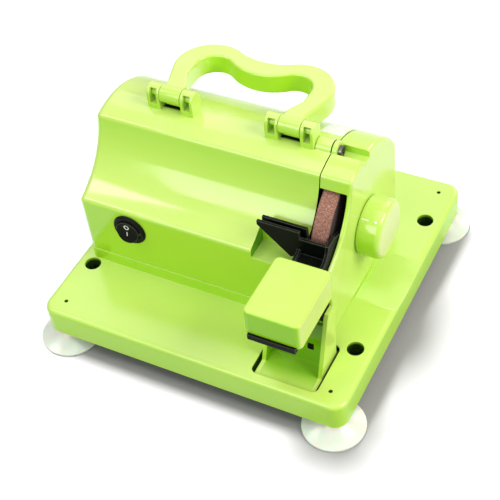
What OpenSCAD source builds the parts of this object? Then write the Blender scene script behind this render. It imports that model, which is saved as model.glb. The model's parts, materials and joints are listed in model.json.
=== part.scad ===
// Desktop electric knife sharpener: moulded base on suction cups, motor housing,
// wheel cover, folding carry handle, blade guide with angle knob, tilting tool rest.
// Frame: +X to the right, +Y to the back, +Z up, origin on the bench under the base centre.

/* [Base] */
// Width of the base plate, left to right
base_w = 212; // [204:1:240]
// Depth of the base plate, front to back
base_d = 203; // [198:1:230]
// Height of the base plate
base_h = 20; // [18:0.5:28]
// Corner radius of the base plate
base_corner_r = 9; // [9:1:26]
// Rounding of the top edge of the base plate
base_edge_r = 3; // [1:0.5:4]
// Thickness of the base side walls
base_wall = 2.5; // [2:0.1:3.5]
// Thickness of the deck
deck_t = 3; // [2.5:0.1:4]
// Thickness of the plate that closes the base from below
bottom_t = 2; // [1.5:0.1:3]
// Height of the raised plinth that the motor housing stands on
plinth_h = 9; // [6:0.5:12]
// How far the plinth stands proud of the housing wall
plinth_lip = 0.6; // [0.3:0.1:1.2]
// Width of the hand scoop in the right edge of the deck
scoop_w = 46; // [36:1:52]
// Depth of the hand scoop
scoop_depth = 3.5; // [2:0.25:5]

/* [Suction cups] */
// Diameter of a suction cup at its rim
cup_d = 40; // [34:1:44]
// Height from the bench to the underside of the base
cup_h = 12; // [10:0.5:16]
// Distance of a cup's centre from the side edge of the base
cup_inset_x = 11; // [10.5:0.5:16]
// Distance of a cup's centre from the front or back edge of the base
cup_inset_y = 10; // [9.5:0.5:16]
// Diameter of the stem that plugs into the base
stem_d = 8; // [6:0.5:9]
// Length of the stem
stem_l = 6; // [4:0.5:8]

/* [Bench bolts] */
// Diameter of the through hole for a bench bolt
bolt_hole_d = 5.5; // [4.5:0.5:6.5]
// Diameter of the well that takes the bolt head
bolt_well_d = 10.6; // [9:0.2:11]
// Depth of the well
bolt_well_depth = 13; // [6:0.5:14]
// Distance of the bolt holes from the side edges of the base
bolt_inset_x = 11.5; // [11:0.5:13]
// Distance of the front bolt holes from the front wall of the housing
bolt_front_gap = 6.5; // [6.2:0.1:8]
// Distance of the rear bolt holes from the rear wall of the housing
bolt_rear_gap = 7.5; // [6.5:0.5:9]

/* [Housing] */
// Length of the motor housing from its left end to the seam
housing_l = 155.5; // [150:0.5:158]
// Gap between the left end of the housing and the left edge of the base
housing_inset = 7.5; // [7:0.5:12]
// Front wall of the housing, measured forward from the base centre
front_reach = 48.5; // [47:0.5:49]
// Rear wall of the housing, measured back from the base centre
rear_reach = 54.5; // [53.5:0.5:56]
// Wall thickness of the housing and the wheel cover
shell_t = 2.5; // [2:0.1:3]
// Height of the spindle axis above the deck
axis_h = 44; // [42:0.5:48]
// Distance of the spindle axis behind the base centre
axis_y = 6; // [5:0.5:6.5]
// Radius of the concave sweep in the front of the housing
sweep_r = 50; // [48:0.5:51]
// Centre of the sweep, forward of the base centre
sweep_reach = 63; // [62:0.5:64]
// Centre of the sweep above the deck
sweep_h = 101; // [100:0.5:103]
// Rounding of the front edges of the housing
edge_r = 3.5; // [3:0.25:5]
// Rounding of the rear top edge of the housing
rear_edge_r = 12; // [6:1:14]
// Rounding of the left end of the housing
end_r = 5; // [3:0.5:6]
// Rounding of the right end of the wheel cover
cover_end_r = 2; // [1:0.25:2.25]
// Gap at the seam between housing and wheel cover
seam_gap = 0.3; // [0.2:0.1:0.6]
// Radius of the tube that takes the cover screw
tube_r = 6; // [5:0.25:6.5]
// Length of that tube on the housing
tube_l = 10.3; // [9:0.1:10.3]
// Height of the lower edge of the wheel opening above the deck
opening_low_h = 46; // [40:1:48]
// Height of the upper edge of the wheel opening above the deck
opening_top_h = 86.5; // [84:0.5:90]

/* [Wheel and spindle] */
// Diameter of the grinding wheel
wheel_d = 90; // [84:1:91]
// Thickness of the grinding wheel
wheel_t = 10.8; // [10.2:0.2:14]
// Bore of the grinding wheel
wheel_bore_d = 20; // [16:1:22]
// Diameter of the recess in the outer face of the wheel
wheel_recess_d = 40; // [34:1:46]
// Depth of that recess
wheel_recess = 6; // [5.5:0.25:7]
// Diameter of the two wheel flanges
flange_d = 34; // [28:1:36]
// Thickness of a wheel flange
flange_t = 1.6; // [1.2:0.1:2]
// Diameter of the motor shaft
shaft_d = 8; // [6:0.5:10]
// Width across the corners of the wheel nut
nut_d = 15; // [14:0.5:16]
// Thickness of the wheel nut
nut_t = 3.6; // [3:0.1:3.8]

/* [Motor] */
// Outer diameter of the motor can
can_d = 64; // [58:1:68]
// Length of the motor can
can_l = 85; // [75:1:88]
// Wall of the motor can
can_t = 1.6; // [1.2:0.1:2.5]
// Thickness of a motor end cap
cap_t = 6; // [5:0.5:8]
// Outer diameter of a ball bearing
bearing_d = 22; // [19:1:26]
// Width of a ball bearing
bearing_w = 7; // [5:0.5:8]
// Diameter of the rotor core
rotor_d = 40; // [34:1:44]
// Length of the rotor and stator cores
core_l = 45; // [36:1:55]
// Diameter of the cooling fan
fan_d = 52; // [44:1:58]
// Width of the cooling fan
fan_w = 9; // [6:0.5:10]
// Number of fan blades
fan_blades = 9; // [6:1:12]

/* [Handle] */
// Distance between the centres of the two handle legs
leg_span = 81.2; // [78:0.2:86]
// Width of a handle leg at its knuckle
leg_w = 14; // [13:0.5:15]
// Thickness of the handle behind its knuckles
handle_t = 13.8; // [12:0.2:14]
// Diameter of a handle knuckle
knuckle_d = 11.5; // [11:0.1:11.7]
// Rounding of the handle edges
handle_edge_r = 1.6; // [1:0.1:3]
// Outer radius of the two handle lobes
lobe_r = 23.7; // [22.5:0.1:24.5]
// Distance of the lobe centres from the hinge
lobe_reach = 29.5; // [28:0.1:31]
// How far a lobe centre lies inside its leg
lobe_inset = 10.8; // [10:0.1:12]
// Width of the handle band round a lobe
band_w = 13.3; // [12:0.1:14]
// Reach of the outer waist of the handle from the hinge
waist_reach = 45.7; // [44:0.1:47]
// Width of the handle at its waist
waist_w = 13.8; // [12:0.2:16]
// Angle by which the folded handle slopes down towards the back
droop = 3; // [1:0.5:10]
// Centre of the handle, measured from the left end of the housing
handle_inset = 88.2; // [86:0.1:90]
// Distance of the hinge behind the spindle axis
hinge_shift = 1.5; // [0:0.1:2]
// Height of the hinge above the top of the barrel
hinge_h = 9.5; // [9.5:0.1:11]
// Width of a hinge lug
lug_w = 8.8; // [7:0.2:9.2]
// Radius of the rounded top of a lug
lug_r = 5.6; // [5:0.1:6]
// Width of the pocket in a lug
lug_pocket_w = 4.6; // [3:0.1:5]
// Diameter of a hinge peg
peg_d = 5; // [4:0.25:5.5]

/* [Blade guide] */
// Length of the blade rails left of the wheel
rail_l = 30; // [26:1:32]
// Thickness of a rail and of the guide's walls
rail_t = 2; // [1.6:0.1:2.2]
// Width of the blade slot between the rails
blade_slot = 2.4; // [1.6:0.1:3]
// Height of the top of the rails above the deck
rail_top_h = 72.5; // [71:0.5:74]
// Depth of the blade slot
slot_depth = 8; // [5:0.5:9]
// Front face of the guide wall, measured forward from the base centre
guide_reach = 41; // [40.5:0.5:42]
// Depth of the tray in front of the wheel
tray_d = 11; // [8:0.5:11.5]
// Height of the tray floor above the deck
tray_h = 53.5; // [52:0.5:55]
// Height of the guide wall in front of the wheel, above the deck
wall_top_h = 67; // [65:0.5:69]
// Thickness of the arm beside the wheel
arm_t = 2.2; // [1.8:0.1:3]
// Diameter of the pivot that carries the angle knob
pivot_d = 12; // [10:0.5:14]
// Diameter of the angle knob
knob_d = 38.6; // [32:0.2:40]
// Length of the angle knob
knob_l = 15.5; // [11:0.5:18]
// Rounding of the knob's outer edge
knob_r = 4; // [2:0.25:5]

/* [Tool rest] */
// Width of the rest cap
rest_w = 36; // [33:0.5:37]
// Depth of the rest cap, front to back
rest_d = 46.5; // [38:0.5:48]
// Height of the rest cap
rest_h = 19; // [17:0.5:21]
// Rounding of the upright corners of the rest cap
rest_r = 4; // [3:0.25:5]
// Rounding of the top edge of the rest cap
rest_edge_r = 1.6; // [1:0.1:2.4]
// Wall of the rest cap
rest_t = 2.4; // [2:0.1:3]
// Height of the top of the cap above the deck
rest_top_h = 65; // [64:0.5:67]
// Back of the cap, measured forward from the base centre
rest_back = 55; // [54.5:0.5:58]
// Centre of the rest, measured right from the seam
rest_shift = 7.5; // [7:0.5:8]
// Thickness of the black core plate
core_t = 4.2; // [3.8:0.1:6]
// How far the core plate stands out in front of the cap
core_lip = 1.6; // [0.8:0.1:2.5]
// Distance between the outer faces of the bracket plates
bracket_w = 40.2; // [39:0.2:41]
// Thickness of a bracket plate
bracket_t = 3; // [2.5:0.1:3.4]
// Height of the rest pivot above the deck
pin_h = 36.5; // [35:0.5:37]
// Rest pivot, measured forward from the base centre
pin_reach = 64.5; // [63.5:0.5:66]
// Diameter of the rest pin
pin_d = 4; // [3:0.25:4.5]
// Width of the recess that the bracket sits in
recess_w = 43.8; // [43.5:0.2:46]
// Depth of that recess, front to back
recess_d = 38; // [37:0.5:39]
// How far the recess is sunk into the deck
recess_depth = 5; // [2:0.25:5.5]
// Front edge of the recess, measured forward from the base centre
recess_front = 95; // [94:0.5:96]

/* [Switch] */
// Diameter of the panel hole for the switch
switch_hole_d = 20; // [19:0.5:21]
// Diameter of the switch bezel
bezel_d = 23; // [22.5:0.5:25]
// Thickness of the bezel in front of the panel
bezel_t = 2; // [1.5:0.1:3]
// Length of the switch body behind the panel
switch_l = 15; // [12:0.5:17]
// Height of the switch above the deck
switch_h = 38.5; // [37:0.5:39]
// Centre of the switch, measured from the left end of the housing
switch_inset = 36.2; // [32:0.1:40]
// Radius of the rocker button
rocker_r = 8.2; // [7.5:0.1:8.4]
// Angle of the rocker to either side
rocker_tilt = 8; // [5:0.5:9]

/* [Fits] */
// Running clearance on a radius
run_fit = 0.05; // [0.02:0.01:0.1]
// Clearance on a radius for a seated part
seat_fit = 0.02; // [0.01:0.01:0.05]
// Clearance between parts that sit side by side
side_gap = 0.3; // [0.2:0.05:0.5]
// Thread diameter of the housing and cover screws
screw_d = 3.8; // [3:0.1:4.2]
// Head diameter of these screws
screw_head_d = 7.2; // [6.5:0.1:7.6]
// Head height of these screws
screw_head_h = 2.4; // [1.8:0.1:2.8]
// Outer diameter of a screw boss
boss_d = 8; // [7.5:0.25:9]

/* [Hidden] */
$fn = 64;

lime = [0.66, 0.88, 0.29];
black = [0.09, 0.09, 0.09];
steel = [0.72, 0.73, 0.75];
copper = [0.72, 0.42, 0.22];

// Main levels and stations
deck_z = cup_h + base_h;
axis_z = deck_z + axis_h;
foot_z = deck_z + plinth_h;
front_y = -front_reach;
rear_y = rear_reach;
housing_x0 = -base_w / 2 + housing_inset;
seam_x = housing_x0 + housing_l;
cover_x0 = seam_x + seam_gap;

// Stack of the wheel chamber, from the seam to the outer face of the end wall
flange_gap = 0.4;
wheel_x0 = seam_x + flange_gap + flange_t;
wheel_x1 = wheel_x0 + wheel_t;
arm_gap = 2.4;
arm_x0 = wheel_x1 + arm_gap;
arm_x1 = arm_x0 + arm_t;
end_x = arm_x1 + side_gap + shell_t;

wheel_r = wheel_d / 2;
wheel_clear = 7;
wheel_relief = 1.2;
barrel_r = wheel_r + wheel_clear + shell_t;
shaft_r = shaft_d / 2;
sweep_c = [-sweep_reach, deck_z + sweep_h];
axis_c = [axis_y, axis_z];
hinge_y = axis_y + hinge_shift;
hinge_z = axis_z + barrel_r + hinge_h;
peg_r = peg_d / 2;
handle_x = housing_x0 + handle_inset;

// Cover screw tube, half sunk in the top of the barrel
tube_c = [hinge_y + 1, axis_z + barrel_r - 1.5];

// Housing screws stand at the inside corners of housing and cover
boss_inset = 5.5;
housing_boss_x = [housing_x0 + boss_inset, seam_x - boss_inset];
cover_boss_x = end_x - boss_inset;
boss_y = [front_y + boss_inset, rear_y - boss_inset];
housing_thread = 10;
cover_boss_h = 10;

bolt_x = base_w / 2 - bolt_inset_x;
bolt_y = [front_y - bolt_front_gap, rear_y + bolt_rear_gap];
cup_x = base_w / 2 - cup_inset_x;
cup_y = base_d / 2 - cup_inset_y;
cup_boss_r = stem_d / 2 + 2;
bottom_top_z = cup_h + side_gap + bottom_t;

// Motor stations along the axis
can_x0 = housing_x0 + 46.5;
can_x1 = can_x0 + can_l;
can_r = can_d / 2;
core_x0 = can_x0 + (can_l - core_l) / 2;
fan_x0 = can_x0 - cap_t - 4 - fan_w;
saddle_w = 6;
saddle_x = [can_x0 + 8, can_x1 - 8 - saddle_w];
saddle_half = 40;
saddle_top = axis_z - 8;
strap_t = 1.5;
cradle_t = 3;

// Tool rest
rest_x = seam_x + rest_shift;
recess_x0 = rest_x - bracket_w / 2 - 2;
pin_c = [-pin_reach, deck_z + pin_h];
core_low = deck_z + rest_top_h - rest_h - 3;
bracket_floor_t = 2.5;

// Blade guide stations
rail_x0 = seam_x - rail_l;
tray_x0 = seam_x - 4;
guide_y = -guide_reach;
rail_rear_y = guide_y + rail_t + blade_slot;

// Joins a 2D outline in (Y, Z) into a solid from x0 along +X
module along_x(x0, l) {
    translate([x0, 0, 0]) rotate([90, 0, 90]) linear_extrude(l) children();
}

// Round bar along +X centred on c = [y, z]
module rod(x0, l, r, c) {
    translate([x0, c[0], c[1]]) rotate([0, 90, 0]) cylinder(r = r, h = l);
}

module block(lo, hi) {
    translate(lo) cube(hi - lo);
}

module rounded_rect(lo, hi, r) {
    translate([lo[0] + r, lo[1]]) square([hi[0] - lo[0] - 2 * r, hi[1] - lo[1]]);
    translate([lo[0], lo[1] + r]) square([hi[0] - lo[0], hi[1] - lo[1] - 2 * r]);
    for (x = [lo[0] + r, hi[0] - r], y = [lo[1] + r, hi[1] - r]) translate([x, y]) circle(r);
}

// Pan head screw pointing along +Z, the underside of the head at z = 0
module pan_screw(l, d = screw_d, head_d = screw_head_d, head_h = screw_head_h) {
    slot_w = 1;
    difference() {
        union() {
            cylinder(d = d, h = l);
            translate([0, 0, -head_h]) cylinder(d = head_d, h = head_h);
        }
        for (a = [0, 90])
            rotate(a)
                translate([-head_d / 3, -slot_w / 2, -head_h - 1])
                    cube([2 * head_d / 3, slot_w, 1 + head_h / 2]);
    }
}

// Direction from one point to another
function ang(c, p) = atan2(p[1] - c[1], p[0] - c[0]);

// Points of an arc, without its last point, which the next run supplies
function arc(c, r, a0, a1, n) = [for (i = [0:n - 1])
    let (a = a0 + (a1 - a0) * i / n) c + r * [cos(a), sin(a)]];

// Upper meeting point of two circles
function meet(c1, r1, c2, r2) =
    let (
        v = c2 - c1,
        d = norm(v),
        a = (r1 * r1 - r2 * r2 + d * d) / (2 * d),
        h = sqrt(max(0, r1 * r1 - a * a)),
        m = c1 + a * v / d
    ) m + h * [v[1], -v[0]] / d;

function outline(inset, low) =
    let (
        yf = front_y + inset,
        yr = rear_y - inset,
        br = barrel_r - inset,
        sr = sweep_r + inset,
        er = max(0.6, edge_r - inset),
        rr = max(1, rear_edge_r - inset),
        low_y = yf + er,
        low_c = [low_y, sweep_c[1] - sqrt(pow(sr + er, 2) - pow(low_y - sweep_c[0], 2))],
        top_c = meet(axis_c, br - er, sweep_c, sr + er),
        rear_c = [yr - rr, axis_z + sqrt(pow(br - rr, 2) - pow(yr - rr - axis_y, 2))],
        a_low = ang(low_c, sweep_c),
        a_top = ang(top_c, sweep_c),
        a_crown = ang(axis_c, top_c),
        a_rear = ang(axis_c, rear_c)
    ) concat(
        [[yf, low]],
        arc(low_c, er, 180, a_low, 5),
        arc(sweep_c, sr, a_low - 180, a_top - 180, 16),
        arc(top_c, er, a_top, a_crown, 5),
        arc(axis_c, br, a_crown, a_rear, 20),
        arc(rear_c, rr, a_rear, 0, 8),
        [[yr, rear_c[1]], [yr, low]]
    );

// Closed solid through a row of outlines that have equally many points
module skin(rings) {
    n = len(rings[0]);
    last = len(rings) - 1;
    polyhedron([for (ring = rings, p = ring) p], concat(
        [[for (i = [n - 1:-1:0]) i]],
        [for (k = [0:last - 1], i = [0:n - 1]) let (j = (i + 1) % n)
            [k * n + i, k * n + j, (k + 1) * n + j, (k + 1) * n + i]],
        [[for (i = [0:n - 1]) last * n + i]]
    ), convexity = 8);
}

// Solid of that outline whose left or right end is rounded by r
module rounded_barrel(x0, x1, low, left_r, right_r) {
    steps = 6;
    left = [for (i = [0:steps]) let (t = 90 * i / steps)
        [x0 + left_r * (1 - cos(t)), left_r * (1 - sin(t))]];
    right = [for (i = [steps:-1:0]) let (t = 90 * i / steps)
        [x1 - right_r * (1 - cos(t)), right_r * (1 - sin(t))]];
    stations = concat(left_r > 0 ? left : [[x0, 0]], right_r > 0 ? right : [[x1, 0]]);
    skin([for (g = stations) [for (p = outline(g[1], low)) [g[0], p[0], p[1]]]]);
}

// Everything below the barrel's inside surface, between two stations
module barrel_cavity(x0, x1, low, inset = shell_t) {
    along_x(x0, x1 - x0) polygon(outline(inset, low));
}

module base_outer() {
    hull()
        for (x = [-1, 1], y = [-1, 1])
            translate([x * (base_w / 2 - base_corner_r), y * (base_d / 2 - base_corner_r), cup_h])
                rotate_extrude($fn = 48) {
                    square([base_corner_r, base_h - base_edge_r]);
                    square([base_corner_r - base_edge_r, base_h]);
                    translate([base_corner_r - base_edge_r, base_h - base_edge_r])
                        circle(base_edge_r, $fn = 24);
                }
}

recess_x1 = recess_x0 + recess_w;
recess_y0 = -recess_front;
recess_y1 = recess_y0 + recess_d;
scoop_y = axis_y - 2;
scoop_r = (pow(scoop_w / 2, 2) + pow(scoop_depth, 2)) / (2 * scoop_depth);
trough_gap = 2.5;
trough_low = axis_z - wheel_r - trough_gap;
bottom_post = [base_w / 2 - 40, base_d / 2 - 14];

module base_shell() color(lime) {
    pad_t = 2.5;
    post_r = bolt_well_d / 2 + 2;
    dimple_d = 2.4;
    dimple_inset = [12.5, 11.5];
    plinth_wall = 4.5;
    plinth_corner = end_r + plinth_lip;
    difference() {
        union() {
            difference() {
                base_outer();
                translate([0, 0, cup_h - 1])
                    linear_extrude(base_h - deck_t + 1)
                        rounded_rect([base_wall - base_w / 2, base_wall - base_d / 2],
                            [base_w / 2 - base_wall, base_d / 2 - base_wall], base_corner_r - base_wall);
            }
            // Plinth under the motor housing
            translate([0, 0, deck_z - 1])
                linear_extrude(plinth_h + 1)
                    difference() {
                        union() {
                            rounded_rect([housing_x0 - plinth_lip, front_y - plinth_lip],
                                [seam_x, rear_y + plinth_lip], plinth_corner);
                            translate([seam_x - 2 * plinth_corner, front_y - plinth_lip])
                                square([2 * plinth_corner, rear_y - front_y + 2 * plinth_lip]);
                        }
                        translate([housing_x0 + plinth_wall, front_y + plinth_wall])
                            square([housing_l - 2 * plinth_wall, rear_y - front_y - 2 * plinth_wall]);
                    }
            for (x = housing_boss_x, y = boss_y)
                translate([x, y, deck_z - deck_t]) cylinder(d = boss_d, h = deck_t + plinth_h);
            // Thickened floors under the recess, the scoop and the wheel
            block([recess_x0 - pad_t, recess_y0 - pad_t, deck_z - recess_depth - pad_t],
                [recess_x1 + pad_t, recess_y1 + pad_t, deck_z - deck_t + 0.5]);
            block([end_x, scoop_y - scoop_w / 2, deck_z - scoop_depth - pad_t],
                [base_w / 2 - base_wall + 0.5, scoop_y + scoop_w / 2, deck_z - deck_t + 0.5]);
            block([cover_x0, axis_y - wheel_r / 1.4, min(trough_low, deck_z - deck_t) - pad_t],
                [end_x, axis_y + wheel_r / 1.4, deck_z - deck_t + 0.5]);
            // Posts for bench bolts, suction cups and the bottom plate
            for (x = [-bolt_x, bolt_x], y = bolt_y)
                translate([x, y, bottom_top_z])
                    cylinder(r = post_r, h = deck_z - deck_t + 0.5 - bottom_top_z);
            for (x = [-cup_x, cup_x], y = [-cup_y, cup_y])
                translate([x, y, cup_h]) cylinder(r = cup_boss_r, h = base_h - deck_t + 0.5);
            for (x = [-1, 1], y = [-1, 1])
                translate([x * bottom_post[0], y * bottom_post[1], bottom_top_z])
                    cylinder(d = boss_d, h = deck_z - deck_t + 0.5 - bottom_top_z);
        }
        for (x = [-bolt_x, bolt_x], y = bolt_y) translate([x, y, 0]) {
            translate([0, 0, deck_z - bolt_well_depth]) cylinder(d = bolt_well_d, h = bolt_well_depth + 1);
            translate([0, 0, cup_h - 1]) cylinder(d = bolt_hole_d, h = base_h);
        }
        for (x = [-cup_x, cup_x], y = [-cup_y, cup_y])
            translate([x, y, cup_h - 1]) cylinder(r = stem_d / 2 + run_fit, h = stem_l + 1 + side_gap);
        for (x = [-1, 1], y = [-1, 1])
            translate([x * (base_w / 2 - dimple_inset[0]), y * (base_d / 2 - dimple_inset[1]), deck_z - 2.2])
                cylinder(d = dimple_d, h = 3);
        for (x = [-1, 1], y = [-1, 1])
            translate([x * bottom_post[0], y * bottom_post[1], bottom_top_z - 1])
                cylinder(r = screw_d / 2 + seat_fit, h = 9);
        for (x = housing_boss_x, y = boss_y)
            translate([x, y, deck_z - deck_t - 1])
                cylinder(r = screw_d / 2 + 0.2, h = deck_t + plinth_h + 2);
        for (y = boss_y)
            translate([cover_boss_x, y, deck_z - deck_t - 1]) cylinder(r = screw_d / 2 + 0.2, h = deck_t + 2);
        for (s = cradle_spots())
            translate([s[0], s[1], deck_z - deck_t - 1]) cylinder(r = screw_d / 2 + seat_fit, h = deck_t + 2);
        for (s = bracket_spots())
            translate([s[0], s[1], deck_z - recess_depth - 2 * pad_t])
                cylinder(r = screw_d / 2 + 0.2, h = 3 * pad_t);
        // Recess for the rest bracket
        translate([0, 0, deck_z - recess_depth])
            linear_extrude(recess_depth + 1) rounded_rect([recess_x0, recess_y0], [recess_x1, recess_y1], 4);
        // Scoop in the right edge, and the trough that the wheel dips into
        rod(end_x + 0.5, base_w, scoop_r, [scoop_y, deck_z - scoop_depth + scoop_r]);
        rod(cover_x0, end_x - shell_t - cover_x0, wheel_r + trough_gap, axis_c);
    }
}

module bottom_plate() color(lime) {
    gap = base_wall + side_gap;
    difference() {
        translate([0, 0, cup_h + side_gap])
            linear_extrude(bottom_t)
                rounded_rect([gap - base_w / 2, gap - base_d / 2], [base_w / 2 - gap, base_d / 2 - gap],
                    base_corner_r - gap);
        // Corners cut away round the sockets of the suction cups
        for (x = [-1, 1], y = [-1, 1]) let (cut = cup_boss_r + side_gap)
            translate([x * (cup_x - cut + base_w / 2), y * (cup_y - cut + base_d / 2), cup_h])
                cube([base_w, base_d, base_h], center = true);
        for (x = [-bolt_x, bolt_x], y = bolt_y)
            translate([x, y, cup_h - 1]) cylinder(d = bolt_hole_d, h = base_h);
        for (x = [-1, 1], y = [-1, 1])
            translate([x * bottom_post[0], y * bottom_post[1], cup_h - 1])
                cylinder(r = screw_d / 2 + 0.2, h = base_h);
    }
}

module bottom_screws() color(steel) {
    for (x = [-1, 1], y = [-1, 1])
        translate([x * bottom_post[0], y * bottom_post[1], cup_h + side_gap]) pan_screw(8);
}

module suction_cups() color([0.93, 0.95, 0.95]) {
    rim_t = 1.6;
    neck_r = 7;
    flare = 1.5;
    for (x = [-cup_x, cup_x], y = [-cup_y, cup_y])
        translate([x, y, 0]) {
            difference() {
                rotate_extrude() polygon([
                    [0, cup_h], [neck_r, cup_h], [neck_r, cup_h - 2.5], [neck_r + 3, cup_h - 5.5],
                    [cup_d / 2 - 4, rim_t + flare], [cup_d / 2, rim_t], [cup_d / 2, 0], [0, 0]
                ]);
                translate([0, 0, -1]) rotate_extrude() polygon([
                    [0, 0], [cup_d / 2 - 2.5, 0], [cup_d / 2 - 2.5, 1], [cup_d / 2 - 6, 1.6 + rim_t],
                    [neck_r, 1 + cup_h / 3], [0, 2 + cup_h / 3]
                ]);
            }
            translate([0, 0, cup_h]) cylinder(d = stem_d, h = stem_l);
        }
}

// Centre of each hinge lug, and the side of its leg that it stands on
lugs = [
    for (s = [-1, 1], k = [-1, 1])
        [handle_x + s * leg_span / 2 + k * (leg_w / 2 + side_gap + lug_w / 2), k]
];
lug_wall = 1.2;

// Hinge lug: a tombstone with a window in its front and a blind bore for the peg
module hinge_lug(x, k) {
    pocket_low = hinge_z - 6;
    pocket_top = hinge_z + lug_r - 1;
    low_z = axis_z + barrel_r - 3;
    difference() {
        union() {
            rod(x - lug_w / 2, lug_w, lug_r, [hinge_y, hinge_z]);
            block([x - lug_w / 2, hinge_y - lug_r, low_z], [x + lug_w / 2, hinge_y + lug_r, hinge_z]);
        }
        block([x - lug_pocket_w / 2, hinge_y - lug_r - 1, pocket_low],
            [x + lug_pocket_w / 2, hinge_y + lug_r - 2, pocket_top]);
        rod(x - lug_w / 2 + (k < 0 ? lug_wall : -1), lug_w + 1 - lug_wall, peg_r + run_fit,
            [hinge_y, hinge_z]);
    }
}

pocket_floor_z = deck_z + tray_h - 6.5;
pocket_x0 = rail_x0 - 2;
pocket_back_y = rail_rear_y + rail_t + 3;
switch_c = [housing_x0 + switch_inset, front_y, deck_z + switch_h];
bushing_c = [housing_x0 + 37.5, rear_y, deck_z + 24];
bushing_r = 6.5;
partition_hole_r = shaft_r + 3;

module motor_housing() color(lime) {
    liner = 2;
    boss_l = housing_thread + 6;
    difference() {
        union() {
            difference() {
                rounded_barrel(housing_x0, seam_x + 2, foot_z, end_r, 0);
                barrel_cavity(housing_x0 + shell_t, seam_x - shell_t, foot_z - 1);
                block([seam_x, -base_d, 0], [seam_x + 5, base_d, axis_z + 2 * barrel_r]);
            }
            for (g = lugs) hinge_lug(g[0], g[1]);
            rod(seam_x - tube_l, tube_l - side_gap / 2, tube_r, tube_c);
            for (x = housing_boss_x, y = boss_y)
                translate([x, y, foot_z]) cylinder(d = boss_d, h = boss_l);
            // Walls of the pocket that the blade guide dips into
            intersection() {
                block([pocket_x0 - liner, front_y - 1, pocket_floor_z - liner],
                    [seam_x - shell_t / 2, pocket_back_y + liner, axis_z + barrel_r]);
                barrel_cavity(housing_x0 + end_r, seam_x, foot_z, 0.5);
            }
        }
        block([pocket_x0, front_y - 5, pocket_floor_z], [seam_x + 1, pocket_back_y, axis_z + barrel_r / 2]);
        for (x = housing_boss_x, y = boss_y)
            translate([x, y, foot_z - 1]) cylinder(r = screw_d / 2 + seat_fit, h = housing_thread + 2);
        rod(seam_x - tube_l + 1, tube_l, screw_d / 2 + seat_fit, tube_c);
        rod(seam_x - 2 * shell_t, 3 * shell_t, partition_hole_r, axis_c);
        translate([switch_c[0], front_y - 1, switch_c[2]])
            rotate([-90, 0, 0]) cylinder(d = switch_hole_d, h = shell_t + 2);
        translate([bushing_c[0], rear_y - 2 * shell_t, bushing_c[2]])
            rotate([-90, 0, 0]) cylinder(r = bushing_r + seat_fit, h = 3 * shell_t);
    }
}

module housing_screws() color(steel) {
    for (x = housing_boss_x, y = boss_y)
        translate([x, y, deck_z - deck_t]) pan_screw(deck_t + plinth_h + housing_thread);
}

// Ear of the cover that closes the end of the screw tube
ear_t = 3;
groove_half = tube_r - 1;
groove_floor_z = tube_c[1] - screw_head_d / 2 - 0.4;

module wheel_cover() color(lime) {
    groove_wall = 1.6;
    groove_x0 = cover_x0 + ear_t;
    difference() {
        union() {
            difference() {
                rounded_barrel(cover_x0, end_x, deck_z, 0, cover_end_r);
                barrel_cavity(cover_x0 - 1, end_x - shell_t, deck_z - 1);
                rod(cover_x0 - 1, end_x - shell_t - cover_x0 + 1, wheel_r + wheel_relief, axis_c);
                block([cover_x0 - 1, front_y - 5, deck_z + opening_low_h],
                    [end_x - shell_t, axis_y - wheel_r / 4, deck_z + opening_top_h]);
            }
            rod(cover_x0, ear_t, tube_r, tube_c);
            intersection() {
                block([cover_x0, tube_c[0] - groove_half - groove_wall, groove_floor_z - groove_wall],
                    [end_x, tube_c[0] + groove_half + groove_wall, axis_z + barrel_r]);
                barrel_cavity(cover_x0, end_x - cover_end_r, deck_z, 0.5);
            }
            for (y = boss_y)
                translate([cover_boss_x, y, deck_z]) cylinder(d = boss_d, h = cover_boss_h);
        }
        // Groove that gives a screwdriver a straight way to the cover screw
        block([groove_x0, tube_c[0] - groove_half, groove_floor_z],
            [end_x + 1, tube_c[0] + groove_half, axis_z + 2 * barrel_r]);
        rod(cover_x0 - 1, ear_t + 2, screw_d / 2 + 0.2, tube_c);
        for (y = boss_y)
            translate([cover_boss_x, y, deck_z - 1]) cylinder(r = screw_d / 2 + seat_fit, h = cover_boss_h);
        rod(end_x - 2 * shell_t, 3 * shell_t, pivot_d / 2 + run_fit, axis_c);
    }
}

module cover_foot_screws() color(steel) {
    for (y = boss_y)
        translate([cover_boss_x, y, deck_z - deck_t]) pan_screw(deck_t + cover_boss_h - 2);
}

module cover_screw() color(steel) {
    translate([cover_x0 + ear_t, tube_c[0], tube_c[1]]) rotate([0, -90, 0]) pan_screw(ear_t + tube_l - 2);
}

// Handle outline in its own plane: X across, Y away from the hinge
lobe_half = leg_span / 2 - lobe_inset;
inner_r = lobe_r - band_w + 2;
inner_half = lobe_half - 2.6;
inner_reach = lobe_reach - 0.8;
inner_waist = waist_reach - waist_w;
// Straight part of a leg, as far as it passes between the lugs
leg_straight = lug_r + 0.7;

// Radius of the circle that touches two lobes and passes through a point on the centre line
function waist_r(half, reach, r, low) = (half * half + pow(low - reach, 2) - r * r) / (2 * (r - low + reach));

// Outer edge of the right half of the handle, moved inwards by d, from the waist down to the leg's end
function handle_outer(d) =
    let (
        leg = leg_span / 2 + leg_w / 2 - d,
        lobe_c = [lobe_half, lobe_reach],
        waist = waist_r(lobe_half, lobe_reach, lobe_r, waist_reach),
        waist_c = [0, waist_reach + waist],
        a_waist = ang(waist_c, lobe_c),
        turn = [leg, leg_straight],
        a_leg = ang(lobe_c, turn) + acos((lobe_r - d) / norm(turn - lobe_c))
    ) concat(
        arc(waist_c, waist + d, -90, a_waist, 6),
        arc(lobe_c, lobe_r - d, a_waist + 180, a_leg, 18),
        [lobe_c + (lobe_r - d) * [cos(a_leg), sin(a_leg)], turn, [leg, 0]]
    );

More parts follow.
